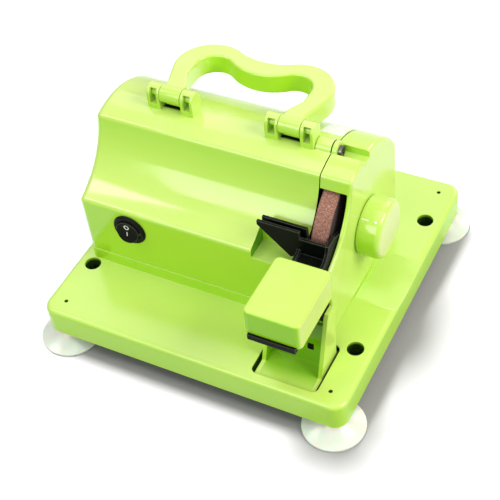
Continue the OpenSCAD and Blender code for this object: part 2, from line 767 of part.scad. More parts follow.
// Inner edge of that half, with as many points
function handle_inner(d) =
    let (
        leg = leg_span / 2 - leg_w / 2 + d,
        side = inner_half + inner_r + d,
        flare_y = 18,
        lobe_c = [inner_half, inner_reach],
        waist = waist_r(inner_half, inner_reach, inner_r, inner_waist),
        waist_c = [0, inner_waist + waist],
        a_waist = ang(waist_c, lobe_c)
    ) concat(
        arc(waist_c, waist - d, -90, a_waist, 6),
        arc(lobe_c, inner_r + d, a_waist + 180, 0, 18),
        [[side, flare_y], [leg, leg_straight], [leg, 0]]
    );

module carry_handle() color(lime) {
    knuckle_r = knuckle_d / 2;
    handle_top = knuckle_r - 0.35;
    knuckle_w = leg_w + side_gap / 2;
    peg_l = lug_w - lug_wall;
    notch_w = leg_w / 2;
    steps = 5;
    low = [for (i = [0:steps]) let (t = 90 * i / steps)
        [handle_edge_r * (1 - cos(t)), handle_edge_r * (1 - sin(t))]];
    levels = concat([for (g = low) [handle_top - handle_t + g[0], g[1]]],
        [for (i = [steps:-1:0]) [handle_top - low[i][0], low[i][1]]]);
    outer = [for (g = levels) handle_outer(g[1])];
    inner = [for (g = levels) handle_inner(g[1])];
    top = len(levels) - 1;
    last = len(outer[0]) - 1;
    stations = concat([for (k = [last:-1:0]) [1, k]], [for (k = [1:last]) [-1, k]]);
    translate([handle_x, hinge_y, hinge_z]) rotate([-droop, 0, 0]) difference() {
        union() {
            skin([for (q = stations) concat(
                [for (i = [0:top]) [q[0] * outer[i][q[1]][0], outer[i][q[1]][1], levels[i][0]]],
                [for (i = [top:-1:0]) [q[0] * inner[i][q[1]][0], inner[i][q[1]][1], levels[i][0]]]
            )]);
            for (s = [-1, 1]) {
                rod(s * leg_span / 2 - knuckle_w / 2, knuckle_w, knuckle_r, [0, 0]);
                rod(s * leg_span / 2 - leg_w / 2 - peg_l, leg_w + 2 * peg_l, peg_r, [0, 0]);
            }
        }
        for (s = [-1, 1])
            block([s * leg_span / 2 - notch_w / 2, -knuckle_r - 1, -knuckle_r - 1],
                [s * leg_span / 2 + notch_w / 2, -knuckle_r / 2, -knuckle_r / 2]);
    }
}

function cradle_spots() = [
    for (x = [saddle_x[0] - 6, saddle_x[1] + saddle_w + 6], s = [-1, 1]) [x, axis_y + s * 16]
];

module motor_cradle() color([0.55, 0.56, 0.58]) {
    low_x = saddle_x[0] - 12;
    high_x = saddle_x[1] + saddle_w + 12;
    difference() {
        union() {
            block([low_x, axis_y - 24, deck_z], [high_x, axis_y + 24, deck_z + cradle_t]);
            for (x = saddle_x)
                block([x, axis_y - saddle_half, deck_z], [x + saddle_w, axis_y + saddle_half, saddle_top]);
        }
        rod(low_x - 1, high_x - low_x + 2, can_r + seat_fit, axis_c);
        for (s = cradle_spots())
            translate([s[0], s[1], deck_z - 1]) cylinder(r = screw_d / 2 + 0.2, h = cradle_t + 2);
        for (s = strap_spots())
            translate([s[0], s[1], saddle_top - 9]) cylinder(r = screw_d / 2 + seat_fit, h = 10);
    }
}

module cradle_screws() color(steel) {
    for (s = cradle_spots())
        translate([s[0], s[1], deck_z + cradle_t]) rotate([180, 0, 0]) pan_screw(cradle_t + deck_t - 0.5);
}

function strap_spots() = [for (x = saddle_x, s = [-1, 1]) [x + saddle_w / 2, axis_y + s * (saddle_half - 3)]];

module motor_straps() color(steel) {
    band_r = can_r + seat_fit;
    for (x = saddle_x) difference() {
        along_x(x, saddle_w) {
            intersection() {
                translate(axis_c) difference() {
                    circle(band_r + strap_t);
                    circle(band_r);
                }
                translate([axis_y - saddle_half, saddle_top]) square([2 * saddle_half, 2 * can_r]);
            }
            for (s = [-1, 1])
                translate([axis_y + s * (saddle_half + band_r) / 2, saddle_top + strap_t / 2])
                    square([saddle_half - band_r, strap_t], center = true);
        }
        for (s = strap_spots())
            translate([s[0], s[1], saddle_top - 1]) cylinder(r = screw_d / 2 + 0.2, h = strap_t + 2);
    }
}

module strap_screws() color(steel) {
    for (s = strap_spots())
        translate([s[0], s[1], saddle_top + strap_t]) rotate([180, 0, 0])
            pan_screw(strap_t + 7, head_d = screw_d + 1.8);
}

module motor_can() color([0.45, 0.46, 0.48]) {
    difference() {
        rod(can_x0, can_l, can_r, axis_c);
        rod(can_x0 - 1, can_l + 2, can_r - can_t, axis_c);
    }
}

// End cap with a spigot in the can and a seat for a bearing, made for the right-hand end
module end_cap() {
    spigot_r = can_r - can_t - seat_fit;
    spigot_l = bearing_w - cap_t + 3;
    difference() {
        union() {
            rod(0, cap_t, can_r, [0, 0]);
            rod(-spigot_l, spigot_l + 1, spigot_r, [0, 0]);
        }
        rod(cap_t - bearing_w - 1, bearing_w, bearing_d / 2 + seat_fit, [0, 0]);
        rod(-cap_t, 3 * cap_t, shaft_r + 1.5, [0, 0]);
        rod(-spigot_l - 1, spigot_l + cap_t - bearing_w, bearing_d / 2 - 1.5, [0, 0]);
    }
}

module front_end_cap() color(steel) translate([can_x1, axis_y, axis_z]) end_cap();

module rear_end_cap() color(steel) translate([can_x0, axis_y, axis_z]) rotate([0, 0, 180]) end_cap();

// Ball bearing shown as its two rings and the shielded space between them
module bearing() {
    ring = (bearing_d / 2 - shaft_r) / 3;
    shield_in = 0.6;
    difference() {
        rod(0, bearing_w, bearing_d / 2, [0, 0]);
        rod(-1, bearing_w + 2, shaft_r + run_fit, [0, 0]);
        for (x = [-1, bearing_w - shield_in])
            difference() {
                rod(x, 1 + shield_in, bearing_d / 2 - ring, [0, 0]);
                rod(x - 1, 3 + shield_in, shaft_r + ring, [0, 0]);
            }
    }
}

module front_bearing() color(steel)
    translate([can_x1 + cap_t - bearing_w - 1, axis_y, axis_z]) bearing();

module rear_bearing() color(steel)
    translate([can_x0 - cap_t + 1, axis_y, axis_z]) bearing();

module stator_core() color(copper) {
    air_gap = 0.6;
    slots = 12;
    slot_r = rotor_d / 2 + 4.5;
    difference() {
        rod(core_x0, core_l, can_r - can_t - seat_fit, axis_c);
        rod(core_x0 - 1, core_l + 2, rotor_d / 2 + air_gap, axis_c);
        for (i = [0:slots - 1]) let (a = i * 360 / slots)
            rod(core_x0 - 1, core_l + 2, 2.2, axis_c + slot_r * [cos(a), sin(a)]);
    }
}

module rotor_core() color(steel) {
    difference() {
        rod(core_x0, core_l, rotor_d / 2, axis_c);
        rod(core_x0 - 1, core_l + 2, shaft_r + seat_fit, axis_c);
    }
}

nut_x0 = wheel_x0 + wheel_t - wheel_recess + flange_t;

module rotor_shaft() color(steel) {
    shaft_x0 = fan_x0 - 1;
    tip = 0.6;
    rod(shaft_x0, nut_x0 + nut_t - shaft_x0, shaft_r, axis_c);
    rod(nut_x0 + nut_t - 1, 1 + tip, shaft_r - tip, axis_c);
}

module cooling_fan() color(black) {
    hub_r = shaft_r + 4;
    blade_t = 1.4;
    plate_t = 1.5;
    difference() {
        union() {
            rod(fan_x0, fan_w, hub_r, axis_c);
            rod(fan_x0 + fan_w - plate_t, plate_t, fan_d / 2, axis_c);
            for (i = [0:fan_blades - 1])
                translate([fan_x0, axis_y, axis_z]) rotate([i * 360 / fan_blades, 0, 0])
                    translate([1, -blade_t / 2, hub_r - 1])
                        cube([fan_w - 1 - plate_t / 2, blade_t, fan_d / 2 - hub_r]);
        }
        rod(fan_x0 - 1, fan_w + 2, shaft_r + seat_fit, axis_c);
    }
}

module flange(x0) {
    difference() {
        rod(x0, flange_t, flange_d / 2, axis_c);
        rod(x0 - 1, flange_t + 2, shaft_r + seat_fit, axis_c);
    }
}

module inner_flange() color(steel) flange(seam_x + flange_gap);

module outer_flange() color(steel) flange(wheel_x1 - wheel_recess);

module grinding_wheel() color([0.55, 0.36, 0.31]) {
    rim_r = 0.8;
    translate([wheel_x0, axis_y, axis_z]) rotate([0, 90, 0]) difference() {
        rotate_extrude($fn = 128) polygon([
            [0, 0], [wheel_r - rim_r, 0], [wheel_r, rim_r],
            [wheel_r, wheel_t - rim_r], [wheel_r - rim_r, wheel_t], [0, wheel_t]
        ]);
        translate([0, 0, wheel_t - wheel_recess]) cylinder(d = wheel_recess_d, h = wheel_recess + 1);
        translate([0, 0, -1]) cylinder(d = wheel_bore_d, h = wheel_t + 2);
    }
}

module wheel_bush() color(black) {
    bush_l = wheel_t - wheel_recess;
    difference() {
        rod(wheel_x0, bush_l, wheel_bore_d / 2 - seat_fit, axis_c);
        rod(wheel_x0 - 1, bush_l + 2, shaft_r + seat_fit, axis_c);
    }
}

module wheel_nut() color(steel) {
    difference() {
        translate([nut_x0, axis_y, axis_z]) rotate([0, 90, 0]) cylinder(d = nut_d, h = nut_t, $fn = 6);
        rod(nut_x0 - 1, nut_t + 2, shaft_r + seat_fit, axis_c);
    }
}

knob_x0 = end_x + side_gap;
washer_t = 0.8;
washer_r = pivot_d / 2 + 3;

module blade_guide() color(black) {
    rail_top = deck_z + rail_top_h;
    rail_low = rail_top - slot_depth;
    wall_top = deck_z + wall_top_h;
    floor_z = deck_z + tray_h;
    web_low = rail_low - rail_t;
    web_back = rail_rear_y + rail_t;
    rear_rail_x1 = wheel_x0 - 0.8;
    tray_front = guide_y - tray_d;
    hub_r = pivot_d / 2 + 3;
    curve_r = 9;
    // Both rails slope down from a low left tip to the foot of the front rail
    tip_low = rail_top - 3;
    foot = [tray_x0 - 5, floor_z - 4];
    web_x0 = rail_x0 + (tip_low - web_low) * (foot[0] - rail_x0) / (tip_low - foot[1]);
    translate([0, guide_y + rail_t, 0]) rotate([90, 0, 0]) linear_extrude(rail_t)
        polygon([[rail_x0, rail_top], [tray_x0 + rail_t, rail_top], [tray_x0 + rail_t, floor_z], foot,
            [rail_x0, tip_low]]);
    // Rear rail, one slot behind, and the web that joins the two
    translate([0, web_back, 0]) rotate([90, 0, 0]) linear_extrude(rail_t)
        polygon([[rail_x0 + 1.5, rail_top], [rear_rail_x1, rail_top], [rear_rail_x1, web_low],
            [web_x0 + 1.5, web_low], [rail_x0 + 1.5, tip_low]]);
    block([web_x0 + 1.5, guide_y, web_low], [rear_rail_x1, web_back, rail_low]);
    // Wall in front of the wheel, tray floor, low left lip and right tray side
    block([tray_x0, guide_y, floor_z], [arm_x1, guide_y + rail_t, wall_top]);
    block([tray_x0, tray_front, floor_z], [arm_x1, guide_y + 0.5, floor_z + rail_t]);
    along_x(tray_x0, rail_t)
        polygon([[guide_y + 0.5, floor_z + 5], [guide_y + 0.5, floor_z], [tray_front, floor_z],
            [tray_front, floor_z + 3]]);
    along_x(arm_x0, arm_t) difference() {
        polygon([[guide_y + 8, wall_top + 2], [guide_y + 8, floor_z - 4], [tray_front, floor_z - 1],
            [tray_front, wall_top + 2]]);
        translate([tray_front + 0.5, wall_top + 2]) circle(curve_r);
    }
    // Arm beside the wheel, with the pivot that goes out through the cover
    difference() {
        along_x(arm_x0, arm_t) {
            translate(axis_c) circle(hub_r);
            polygon([[guide_y + 6, wall_top + 2], [guide_y + 6, floor_z - 4],
                [axis_y, axis_z - hub_r], [axis_y, axis_z + hub_r]]);
        }
        rod(arm_x0 - 1, arm_t + 2, 1.5, axis_c);
    }
    difference() {
        rod(arm_x1 - 0.5, knob_x0 + knob_l - 4 - arm_x1, pivot_d / 2, axis_c);
        rod(arm_x1 - 1, knob_l + 10, 1.5, axis_c);
    }
}

module angle_knob() color(lime) {
    bore_l = knob_l - 3.5;
    low_r = knob_d / 2 - 0.6;
    washer_seat = washer_t - side_gap / 2 + seat_fit;
    translate([knob_x0, axis_y, axis_z]) rotate([0, 90, 0]) difference() {
        rotate_extrude() {
            polygon([[0, 0], [low_r, 0], [knob_d / 2, 1.5], [knob_d / 2, knob_l - knob_r],
                [knob_d / 2 - knob_r, knob_l - knob_r], [knob_d / 2 - knob_r, knob_l], [0, knob_l]]);
            translate([knob_d / 2 - knob_r, knob_l - knob_r]) circle(knob_r);
        }
        translate([0, 0, -1]) cylinder(r = pivot_d / 2 + seat_fit, h = bore_l + 1);
        translate([0, 0, -1]) cylinder(r = washer_r + side_gap, h = washer_seat + 1);
        translate([0, 0, -1])
            difference() {
                cylinder(r = knob_d / 2 - 3.5, h = knob_l - 4);
                translate([0, 0, -1]) cylinder(r = pivot_d / 2 + 2.5, h = knob_l);
            }
    }
}

module knob_washer() color(steel) {
    difference() {
        rod(end_x + side_gap / 2, washer_t, washer_r, axis_c);
        rod(end_x - 1, washer_t + 3, pivot_d / 2 + seat_fit, axis_c);
    }
}

bracket_x0 = rest_x - bracket_w / 2;
bracket_x1 = rest_x + bracket_w / 2;
bracket_low = deck_z - recess_depth;
bracket_floor = bracket_low + bracket_floor_t;
// The ends of the rest pin stay this far inside the outer faces of the bracket plates
pin_inset = 1;

function bracket_spots() = [for (s = [-1, 1]) [rest_x + s * 11, -pin_reach + 2]];

module rest_bracket() color(lime) {
    plate_foot = [-pin_reach - 18.5, -pin_reach + 3.5];
    plate_top = [-pin_reach - 5.5, -pin_reach + 5];
    top_z = pin_c[1] + 4.5;
    wall_t = 2.5;
    wall_foot_y = -pin_reach - 9;
    wall_top_y = -pin_reach - 3;
    wall_top_z = pin_c[1] - 8;
    window = [4, 4.5];
    boss_h = 8;
    difference() {
        union() {
            block([bracket_x0, recess_y0 + 1.2, bracket_low], [bracket_x1, plate_foot[1] + 3, bracket_floor]);
            for (x = [bracket_x0, bracket_x1 - bracket_t])
                along_x(x, bracket_t) polygon([[plate_foot[0], bracket_floor - 0.5],
                    [plate_foot[1], bracket_floor - 0.5], [plate_top[1], top_z - 1.5],
                    [plate_top[1] - 1.5, top_z], [plate_top[0] + 2, top_z], [plate_top[0], top_z - 3]]);
            along_x(bracket_x0 + 1, bracket_w - 2)
                polygon([[wall_foot_y, bracket_floor - 0.5], [wall_foot_y + wall_t, bracket_floor - 0.5],
                    [wall_top_y + wall_t, wall_top_z], [wall_top_y, wall_top_z]]);
            for (s = bracket_spots())
                translate([s[0], s[1], bracket_low]) cylinder(d = boss_d - 1, h = boss_h);
        }
        rod(bracket_x0 + pin_inset - seat_fit, bracket_w - 2 * (pin_inset - seat_fit), pin_d / 2 + seat_fit,
            pin_c);
        for (s = bracket_spots())
            translate([s[0], s[1], bracket_low - 1]) cylinder(r = screw_d / 2 + seat_fit, h = boss_h);
        translate([rest_x + 6, wall_foot_y - 2, bracket_floor + 10.4]) cube([window[0], 10, window[1]]);
    }
}

module bracket_screws() color(steel) {
    pad = 2.5;
    for (s = bracket_spots())
        translate([s[0], s[1], bracket_low - pad]) pan_screw(pad + 6);
}

module rest_pin() color(steel) {
    rod(bracket_x0 + pin_inset, bracket_w - 2 * pin_inset, pin_d / 2, pin_c);
}

cap_x0 = rest_x - rest_w / 2;
cap_x1 = rest_x + rest_w / 2;
cap_y0 = -rest_back - rest_d;
cap_y1 = -rest_back;
cap_top = deck_z + rest_top_h;
cap_low = cap_top - rest_h;

module rest_cap() color(lime) {
    front_cut = core_low + core_t + side_gap - cap_low;
    difference() {
        hull() {
            for (x = [cap_x0 + rest_r, cap_x1 - rest_r], y = [cap_y0 + rest_r, cap_y1 - rest_r])
                translate([x, y, cap_low]) rotate_extrude($fn = 32) {
                    square([rest_r, rest_h - rest_edge_r]);
                    square([rest_r - rest_edge_r, rest_h]);
                    translate([rest_r - rest_edge_r, rest_h - rest_edge_r]) circle(rest_edge_r, $fn = 24);
                }
        }
        block([cap_x0 + rest_t, cap_y0 + rest_t, cap_low - 1],
            [cap_x1 - rest_t, cap_y1 - rest_t, cap_top - rest_t]);
        block([cap_x0 + rest_t, cap_y0 - 1, cap_low - 1],
            [cap_x1 - rest_t, cap_y0 + rest_t + 1, cap_low + front_cut]);
    }
}

module rest_core() color(black) {
    fit = rest_t + side_gap;
    ear_r = pin_d / 2 + 2.6;
    ear_w = 4;
    ear_x = [bracket_x0 + bracket_t + side_gap, bracket_x1 - bracket_t - side_gap - ear_w];
    plate_top = core_low + core_t;
    difference() {
        union() {
            block([cap_x0 + fit, cap_y0 - core_lip, core_low], [cap_x1 - fit, cap_y1 - fit, plate_top]);
            // Ribs that stand up against the inside of the cap
            for (x = [cap_x0 + fit + 4, rest_x - 1, cap_x1 - fit - 6])
                block([x, cap_y0 + fit + 2, plate_top - 1], [x + 2, cap_y1 - fit, cap_top - rest_t - 0.02]);
            for (x = ear_x) {
                rod(x, ear_w, ear_r, pin_c);
                block([x, pin_c[0] - ear_r, pin_c[1]], [x + ear_w, pin_c[0] + ear_r, core_low + 1]);
            }
        }
        rod(bracket_x0, bracket_w, pin_d / 2 + run_fit, pin_c);
    }
}

rocker_c = [switch_c[0], front_y - bezel_t + 0.6, switch_c[2]];
rocker_slab = 3;
rocker_room = rocker_r + 0.35;
rocker_pin_r = 1;
rocker_pin_l = 1.1;

module switch_body() color(black) {
    body_r = switch_hole_d / 2 - 0.1;
    room_l = rocker_slab + 2.2;
    difference() {
        translate([switch_c[0], 0, switch_c[2]]) rotate([-90, 0, 0]) {
            translate([0, 0, front_y - bezel_t]) rotate_extrude()
                polygon([[0, 0], [bezel_d / 2 - 1.2, 0], [bezel_d / 2, 1.2],
                    [bezel_d / 2, bezel_t], [0, bezel_t]]);
            translate([0, 0, front_y]) cylinder(r = body_r, h = switch_l);
        }
        translate([rocker_c[0], front_y - bezel_t - 1, rocker_c[2]])
            rotate([-90, 0, 0]) cylinder(r = rocker_room, h = rocker_c[1] - front_y + bezel_t + 1 + room_l);
        rod(rocker_c[0] - rocker_room - 1, 2 * rocker_room + 2, rocker_pin_r + run_fit,
            [rocker_c[1], rocker_c[2]]);
        for (z = [-4, 4])
            block([switch_c[0] - 2.5, front_y + switch_l - 3, switch_c[2] + z - 0.4],
                [switch_c[0] + 2.5, front_y + switch_l + 1, switch_c[2] + z + 0.4]);
    }
}

// Rocker at rest, with its upper half pressed in
module rocker_button() color(black) {
    translate(rocker_c) rotate([-rocker_tilt, 0, 0]) {
        difference() {
            intersection() {
                sphere(rocker_r);
                block([-rocker_r, -rocker_slab, -rocker_r], [rocker_r, rocker_slab, rocker_r]);
            }
            // Shallow dish across the face
            translate([0, -rocker_slab - 29.2, 0]) rotate([0, 90, 0])
                translate([0, 0, -20]) cylinder(r = 30, h = 40, $fn = 96);
        }
        rod(-rocker_room - rocker_pin_l + 0.4, 2 * (rocker_room + rocker_pin_l - 0.4), rocker_pin_r, [0, 0]);
    }
}

tab_l = 6;
tab_y1 = front_y + switch_l + tab_l;

module switch_terminals() color([0.85, 0.66, 0.32]) {
    for (z = [-4, 4])
        block([switch_c[0] - 2.4, front_y + switch_l - 2.9, switch_c[2] + z - 0.35],
            [switch_c[0] + 2.4, tab_y1, switch_c[2] + z + 0.35]);
}

terminal_h = 12;
terminal_y = [front_y + 12, front_y + 24];
lead_r = 1.2;
lead_bend = 2;
lead_drop_y = terminal_y[0] + 5.5;
switch_lead_x = [switch_c[0] - 5.5, switch_c[0] + 5.5];
motor_lead_x = [can_x0 - cap_t / 2 - 1.8, can_x0 - cap_t / 2 + 1.8];
motor_lead_y = terminal_y[1] - 3;
motor_lead_z = axis_z - 0.73 * can_r;

module terminal_block() color([0.9, 0.9, 0.86]) {
    difference() {
        block([switch_lead_x[0] - 4, terminal_y[0], deck_z],
            [max(switch_lead_x[1], motor_lead_x[1]) + 4, terminal_y[1], deck_z + terminal_h]);
        for (x = switch_lead_x)
            translate([x, lead_drop_y, deck_z + 7]) cylinder(r = lead_r + run_fit, h = terminal_h);
        for (x = motor_lead_x)
            translate([x, motor_lead_y, deck_z + 7]) cylinder(r = lead_r + run_fit, h = terminal_h);
    }
}

// Quarter bend of a lead in the local XY plane, from angle a0 on
module bend(a0) {
    rotate(a0) rotate_extrude(angle = 90) translate([lead_bend, 0]) circle(lead_r);
}

// Two leads that drop from the switch tabs into the terminal block
module switch_leads() color([0.75, 0.2, 0.15]) {
    low_z = deck_z + 7;
    tab_half = 2.45;
    for (i = [0, 1]) {
        side = i == 0 ? 1 : -1;
        x = switch_lead_x[i];
        z = switch_c[2] - 4 * side;
        translate([x, lead_drop_y, low_z]) cylinder(r = lead_r, h = z - lead_bend - low_z);
        translate([x + side * lead_bend, lead_drop_y, z - lead_bend])
            rotate([90, 0, 0]) bend(side > 0 ? 90 : 0);
        run = abs(x - switch_c[0]) - lead_bend - tab_half;
        rod(side > 0 ? x + lead_bend : x - lead_bend - run, run, lead_r, [lead_drop_y, z]);
    }
}

// Two leads that rise from the terminal block and run to the rear end cap of the motor
module motor_leads() color([0.2, 0.25, 0.6]) {
    low_z = deck_z + 7;
    rim = axis_z - motor_lead_z - lead_r;
    end_y = axis_y - sqrt(can_r * can_r - rim * rim) - 0.05;
    for (x = motor_lead_x) {
        translate([x, motor_lead_y, low_z]) cylinder(r = lead_r, h = motor_lead_z - lead_bend - low_z);
        translate([x, motor_lead_y + lead_bend, motor_lead_z - lead_bend]) rotate([90, 0, 90]) bend(90);
        translate([x, motor_lead_y + lead_bend, motor_lead_z])
            rotate([-90, 0, 0]) cylinder(r = lead_r, h = end_y - motor_lead_y - lead_bend);
    }
}

// Flanged bushing in the rear wall where the mains cord enters
module cord_bushing() color(black) {
    flange_w = 2;
    cord_r = 3.6;
    translate([bushing_c[0], rear_y - shell_t - 3, bushing_c[2]]) rotate([-90, 0, 0]) difference() {
        union() {
            cylinder(r = bushing_r, h = shell_t + 3 + flange_w);
            translate([0, 0, shell_t + 3]) cylinder(r = bushing_r + 2, h = flange_w);
        }
        translate([0, 0, -1]) cylinder(r = cord_r, h = shell_t + flange_w + 6);
    }
}

base_shell();
bottom_plate();
bottom_screws();
suction_cups();
motor_housing();
housing_screws();
wheel_cover();
cover_foot_screws();
cover_screw();
carry_handle();
motor_cradle();
cradle_screws();
motor_straps();
strap_screws();
motor_can();
front_end_cap();
rear_end_cap();
front_bearing();
rear_bearing();
stator_core();
rotor_core();
rotor_shaft();
cooling_fan();
inner_flange();
grinding_wheel();
wheel_bush();
outer_flange();
wheel_nut();
blade_guide();
angle_knob();
knob_washer();
rest_bracket();
bracket_screws();
rest_pin();
rest_core();
rest_cap();
switch_body();
rocker_button();
switch_terminals();
switch_leads();
terminal_block();
motor_leads();
cord_bushing();
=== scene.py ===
import json
import math

import bmesh
import bpy
from mathutils import Matrix, Vector
from mathutils.bvhtree import BVHTree


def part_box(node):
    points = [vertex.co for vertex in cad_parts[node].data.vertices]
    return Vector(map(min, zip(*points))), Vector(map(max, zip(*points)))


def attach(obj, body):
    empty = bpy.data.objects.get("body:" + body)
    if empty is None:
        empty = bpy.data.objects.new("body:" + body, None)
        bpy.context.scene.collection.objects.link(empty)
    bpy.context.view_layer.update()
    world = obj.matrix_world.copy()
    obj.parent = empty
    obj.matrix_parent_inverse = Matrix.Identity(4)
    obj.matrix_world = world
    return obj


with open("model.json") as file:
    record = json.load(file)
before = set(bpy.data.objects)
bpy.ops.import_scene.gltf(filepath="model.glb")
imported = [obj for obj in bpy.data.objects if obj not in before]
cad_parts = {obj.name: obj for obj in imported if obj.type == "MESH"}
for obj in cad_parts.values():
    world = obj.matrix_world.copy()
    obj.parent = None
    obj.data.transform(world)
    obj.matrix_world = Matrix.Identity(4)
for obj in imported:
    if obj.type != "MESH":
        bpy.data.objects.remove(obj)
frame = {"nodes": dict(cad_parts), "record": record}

scene = bpy.context.scene
nodes = frame["nodes"]
mm = 0.001
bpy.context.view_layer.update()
print("frame loaded:", len(nodes), "nodes")


# camera

cameraSetup = {
    "place": (0.2915, -0.4727, 0.6154),
    "azimuth": 32.154,
    "elevation": 46.591,
    "roll": -7.662,
    "lens": 87.56,
    "sensor": 36.0,
}


def makeCamera(setup):
    a, e, r = (math.radians(setup[k]) for k in ("azimuth", "elevation", "roll"))
    back = Vector((math.sin(a) * math.cos(e), -math.cos(a) * math.cos(e), math.sin(e)))
    level = Vector((math.cos(a), math.sin(a), 0))
    up = back.cross(level)
    turnedRight = math.cos(r) * level + math.sin(r) * up
    turnedUp = math.cos(r) * up - math.sin(r) * level
    data = bpy.data.cameras.new("benchCamera")
    data.lens = setup["lens"]
    data.sensor_width = setup["sensor"]
    camera = bpy.data.objects.new("benchCamera", data)
    turn = Matrix((turnedRight, turnedUp, back)).transposed()
    camera.matrix_world = Matrix.Translation(setup["place"]) @ turn.to_4x4()
    scene.collection.objects.link(camera)
    scene.camera = camera


makeCamera(cameraSetup)
print("camera placed")


# node helpers

mixSockets = {"factor": 0, "a": 6, "b": 7, "result": 2}  # the Mix node's sockets for colours


def addNode(tree, kind, **values):
    node = tree.nodes.new(kind)
    for key, value in values.items():
        setattr(node, key, value)
    return node


def setInputs(node, **values):
    for key, value in values.items():
        node.inputs[key.replace("_", " ")].default_value = value
    return node


def feed(tree, socket, value):  # links another socket, or sets a constant
    if isinstance(value, bpy.types.NodeSocket):
        tree.links.new(value, socket)
    else:
        socket.default_value = value


def newGroup(family, name, inputs, outputs):  # family is Shader or Geometry
    tree = bpy.data.node_groups.new(name, family + "NodeTree")
    for label, kind, *preset in inputs:
        socket = tree.interface.new_socket(name=label, in_out="INPUT", socket_type="NodeSocket" + kind)
        if preset:
            socket.default_value = preset[0]
    for label, kind in outputs:
        tree.interface.new_socket(name=label, in_out="OUTPUT", socket_type="NodeSocket" + kind)
    return tree, tree.nodes.new("NodeGroupInput"), tree.nodes.new("NodeGroupOutput")


def emptyTree(owner):  # owner is a material or a world
    owner.use_nodes = True
    owner.node_tree.nodes.clear()
    return owner.node_tree


def noiseIn(tree, vector, scale, detail, rough=0.5):
    noise = setInputs(addNode(tree, "ShaderNodeTexNoise"), Detail=detail, Roughness=rough)
    feed(tree, noise.inputs["Vector"], vector)
    feed(tree, noise.inputs["Scale"], scale)
    return noise.outputs["Fac"]


def spread(tree, value, span, ends=(0.0, 1.0)):
    node = addNode(tree, "ShaderNodeMapRange")
    for label, end in zip(("From Min", "From Max", "To Min", "To Max"), (*span, *ends)):
        feed(tree, node.inputs[label], end)
    feed(tree, node.inputs["Value"], value)
    return node.outputs["Result"]


def ramp(tree, value, span, ends=(0.0, 1.0)):  # as spread, with the span in mm
    return spread(tree, value, tuple(v * mm for v in span), ends)


def calc(tree, operation, first, *others):
    for other in others:
        node = addNode(tree, "ShaderNodeMath", operation=operation)
        feed(tree, node.inputs[0], first)
        feed(tree, node.inputs[1], other)
        first = node.outputs[0]
    return first


def vectorMath(tree, operation, *terms):
    node = addNode(tree, "ShaderNodeVectorMath", operation=operation)
    for socket, term in zip(node.inputs, terms):
        feed(tree, socket, term)
    return node.outputs["Value" if operation == "DOT_PRODUCT" else "Vector"]


def splitOf(tree, vector):
    node = addNode(tree, "ShaderNodeSeparateXYZ")
    tree.links.new(vector, node.inputs[0])
    return node.outputs


def blendColour(tree, factor, a, b):
    node = addNode(tree, "ShaderNodeMix", data_type="RGBA")
    feed(tree, node.inputs[mixSockets["factor"]], factor)
    for key, value in (("a", a), ("b", b)):
        feed(tree, node.inputs[mixSockets[key]], (*value, 1.0) if isinstance(value, tuple) else value)
    return node.outputs[mixSockets["result"]]


# shared effects

skinMake = {
    "flowSpan": (0.3, 0.7),
    "smudgeSpan": (0.35, 0.75),
    "rippleScale": 160.0,
    "grainShare": 0.25,
    "bumpDepth": 0.1 * mm,
}


def makeMouldSkin(make):
    tree, inner, outer = newGroup(
        "Shader",
        "mouldSkin",
        [
            ("Vector", "Vector"),
            ("Flow Scale", "Float", 14.0),
            ("Smudge Scale", "Float", 45.0),
            ("Grain Scale", "Float", 2600.0),
            ("Gloss", "Float", 0.16),
            ("Matt", "Float", 0.27),
        ],
        [("Flow", "Float"), ("Roughness", "Float"), ("Height", "Float")],
    )
    given = inner.outputs
    vector = given["Vector"]
    flow = spread(tree, noiseIn(tree, vector, given["Flow Scale"], detail=2.0), make["flowSpan"])
    smudge = noiseIn(tree, vector, given["Smudge Scale"], detail=5.0, rough=0.6)
    smudge = spread(tree, smudge, make["smudgeSpan"])
    grain = noiseIn(tree, vector, given["Grain Scale"], detail=2.0)
    ripple = noiseIn(tree, vector, make["rippleScale"], detail=1.0)
    rough = spread(tree, smudge, (0.0, 1.0), (given["Gloss"], given["Matt"]))
    height = calc(tree, "ADD", calc(tree, "MULTIPLY", grain, make["grainShare"]), ripple)
    tree.links.new(flow, outer.inputs["Flow"])
    tree.links.new(rough, outer.inputs["Roughness"])
    tree.links.new(height, outer.inputs["Height"])
    return tree


filmMake = {
    "patchScale": 38.0,
    "patchSpan": (0.42, 0.72),
    "speckSpan": (0.52, 0.7),
    "speckFloor": 0.25,
    "dustUpward": (0.55, 1.0),
    "paintedSheenUpward": (0.15, 0.95),
    "paintedSheenAside": (0.55, 0.95),
    "fadeShare": 0.12,
    "fadeFloor": 0.88,
    "roughen": 0.3,
}


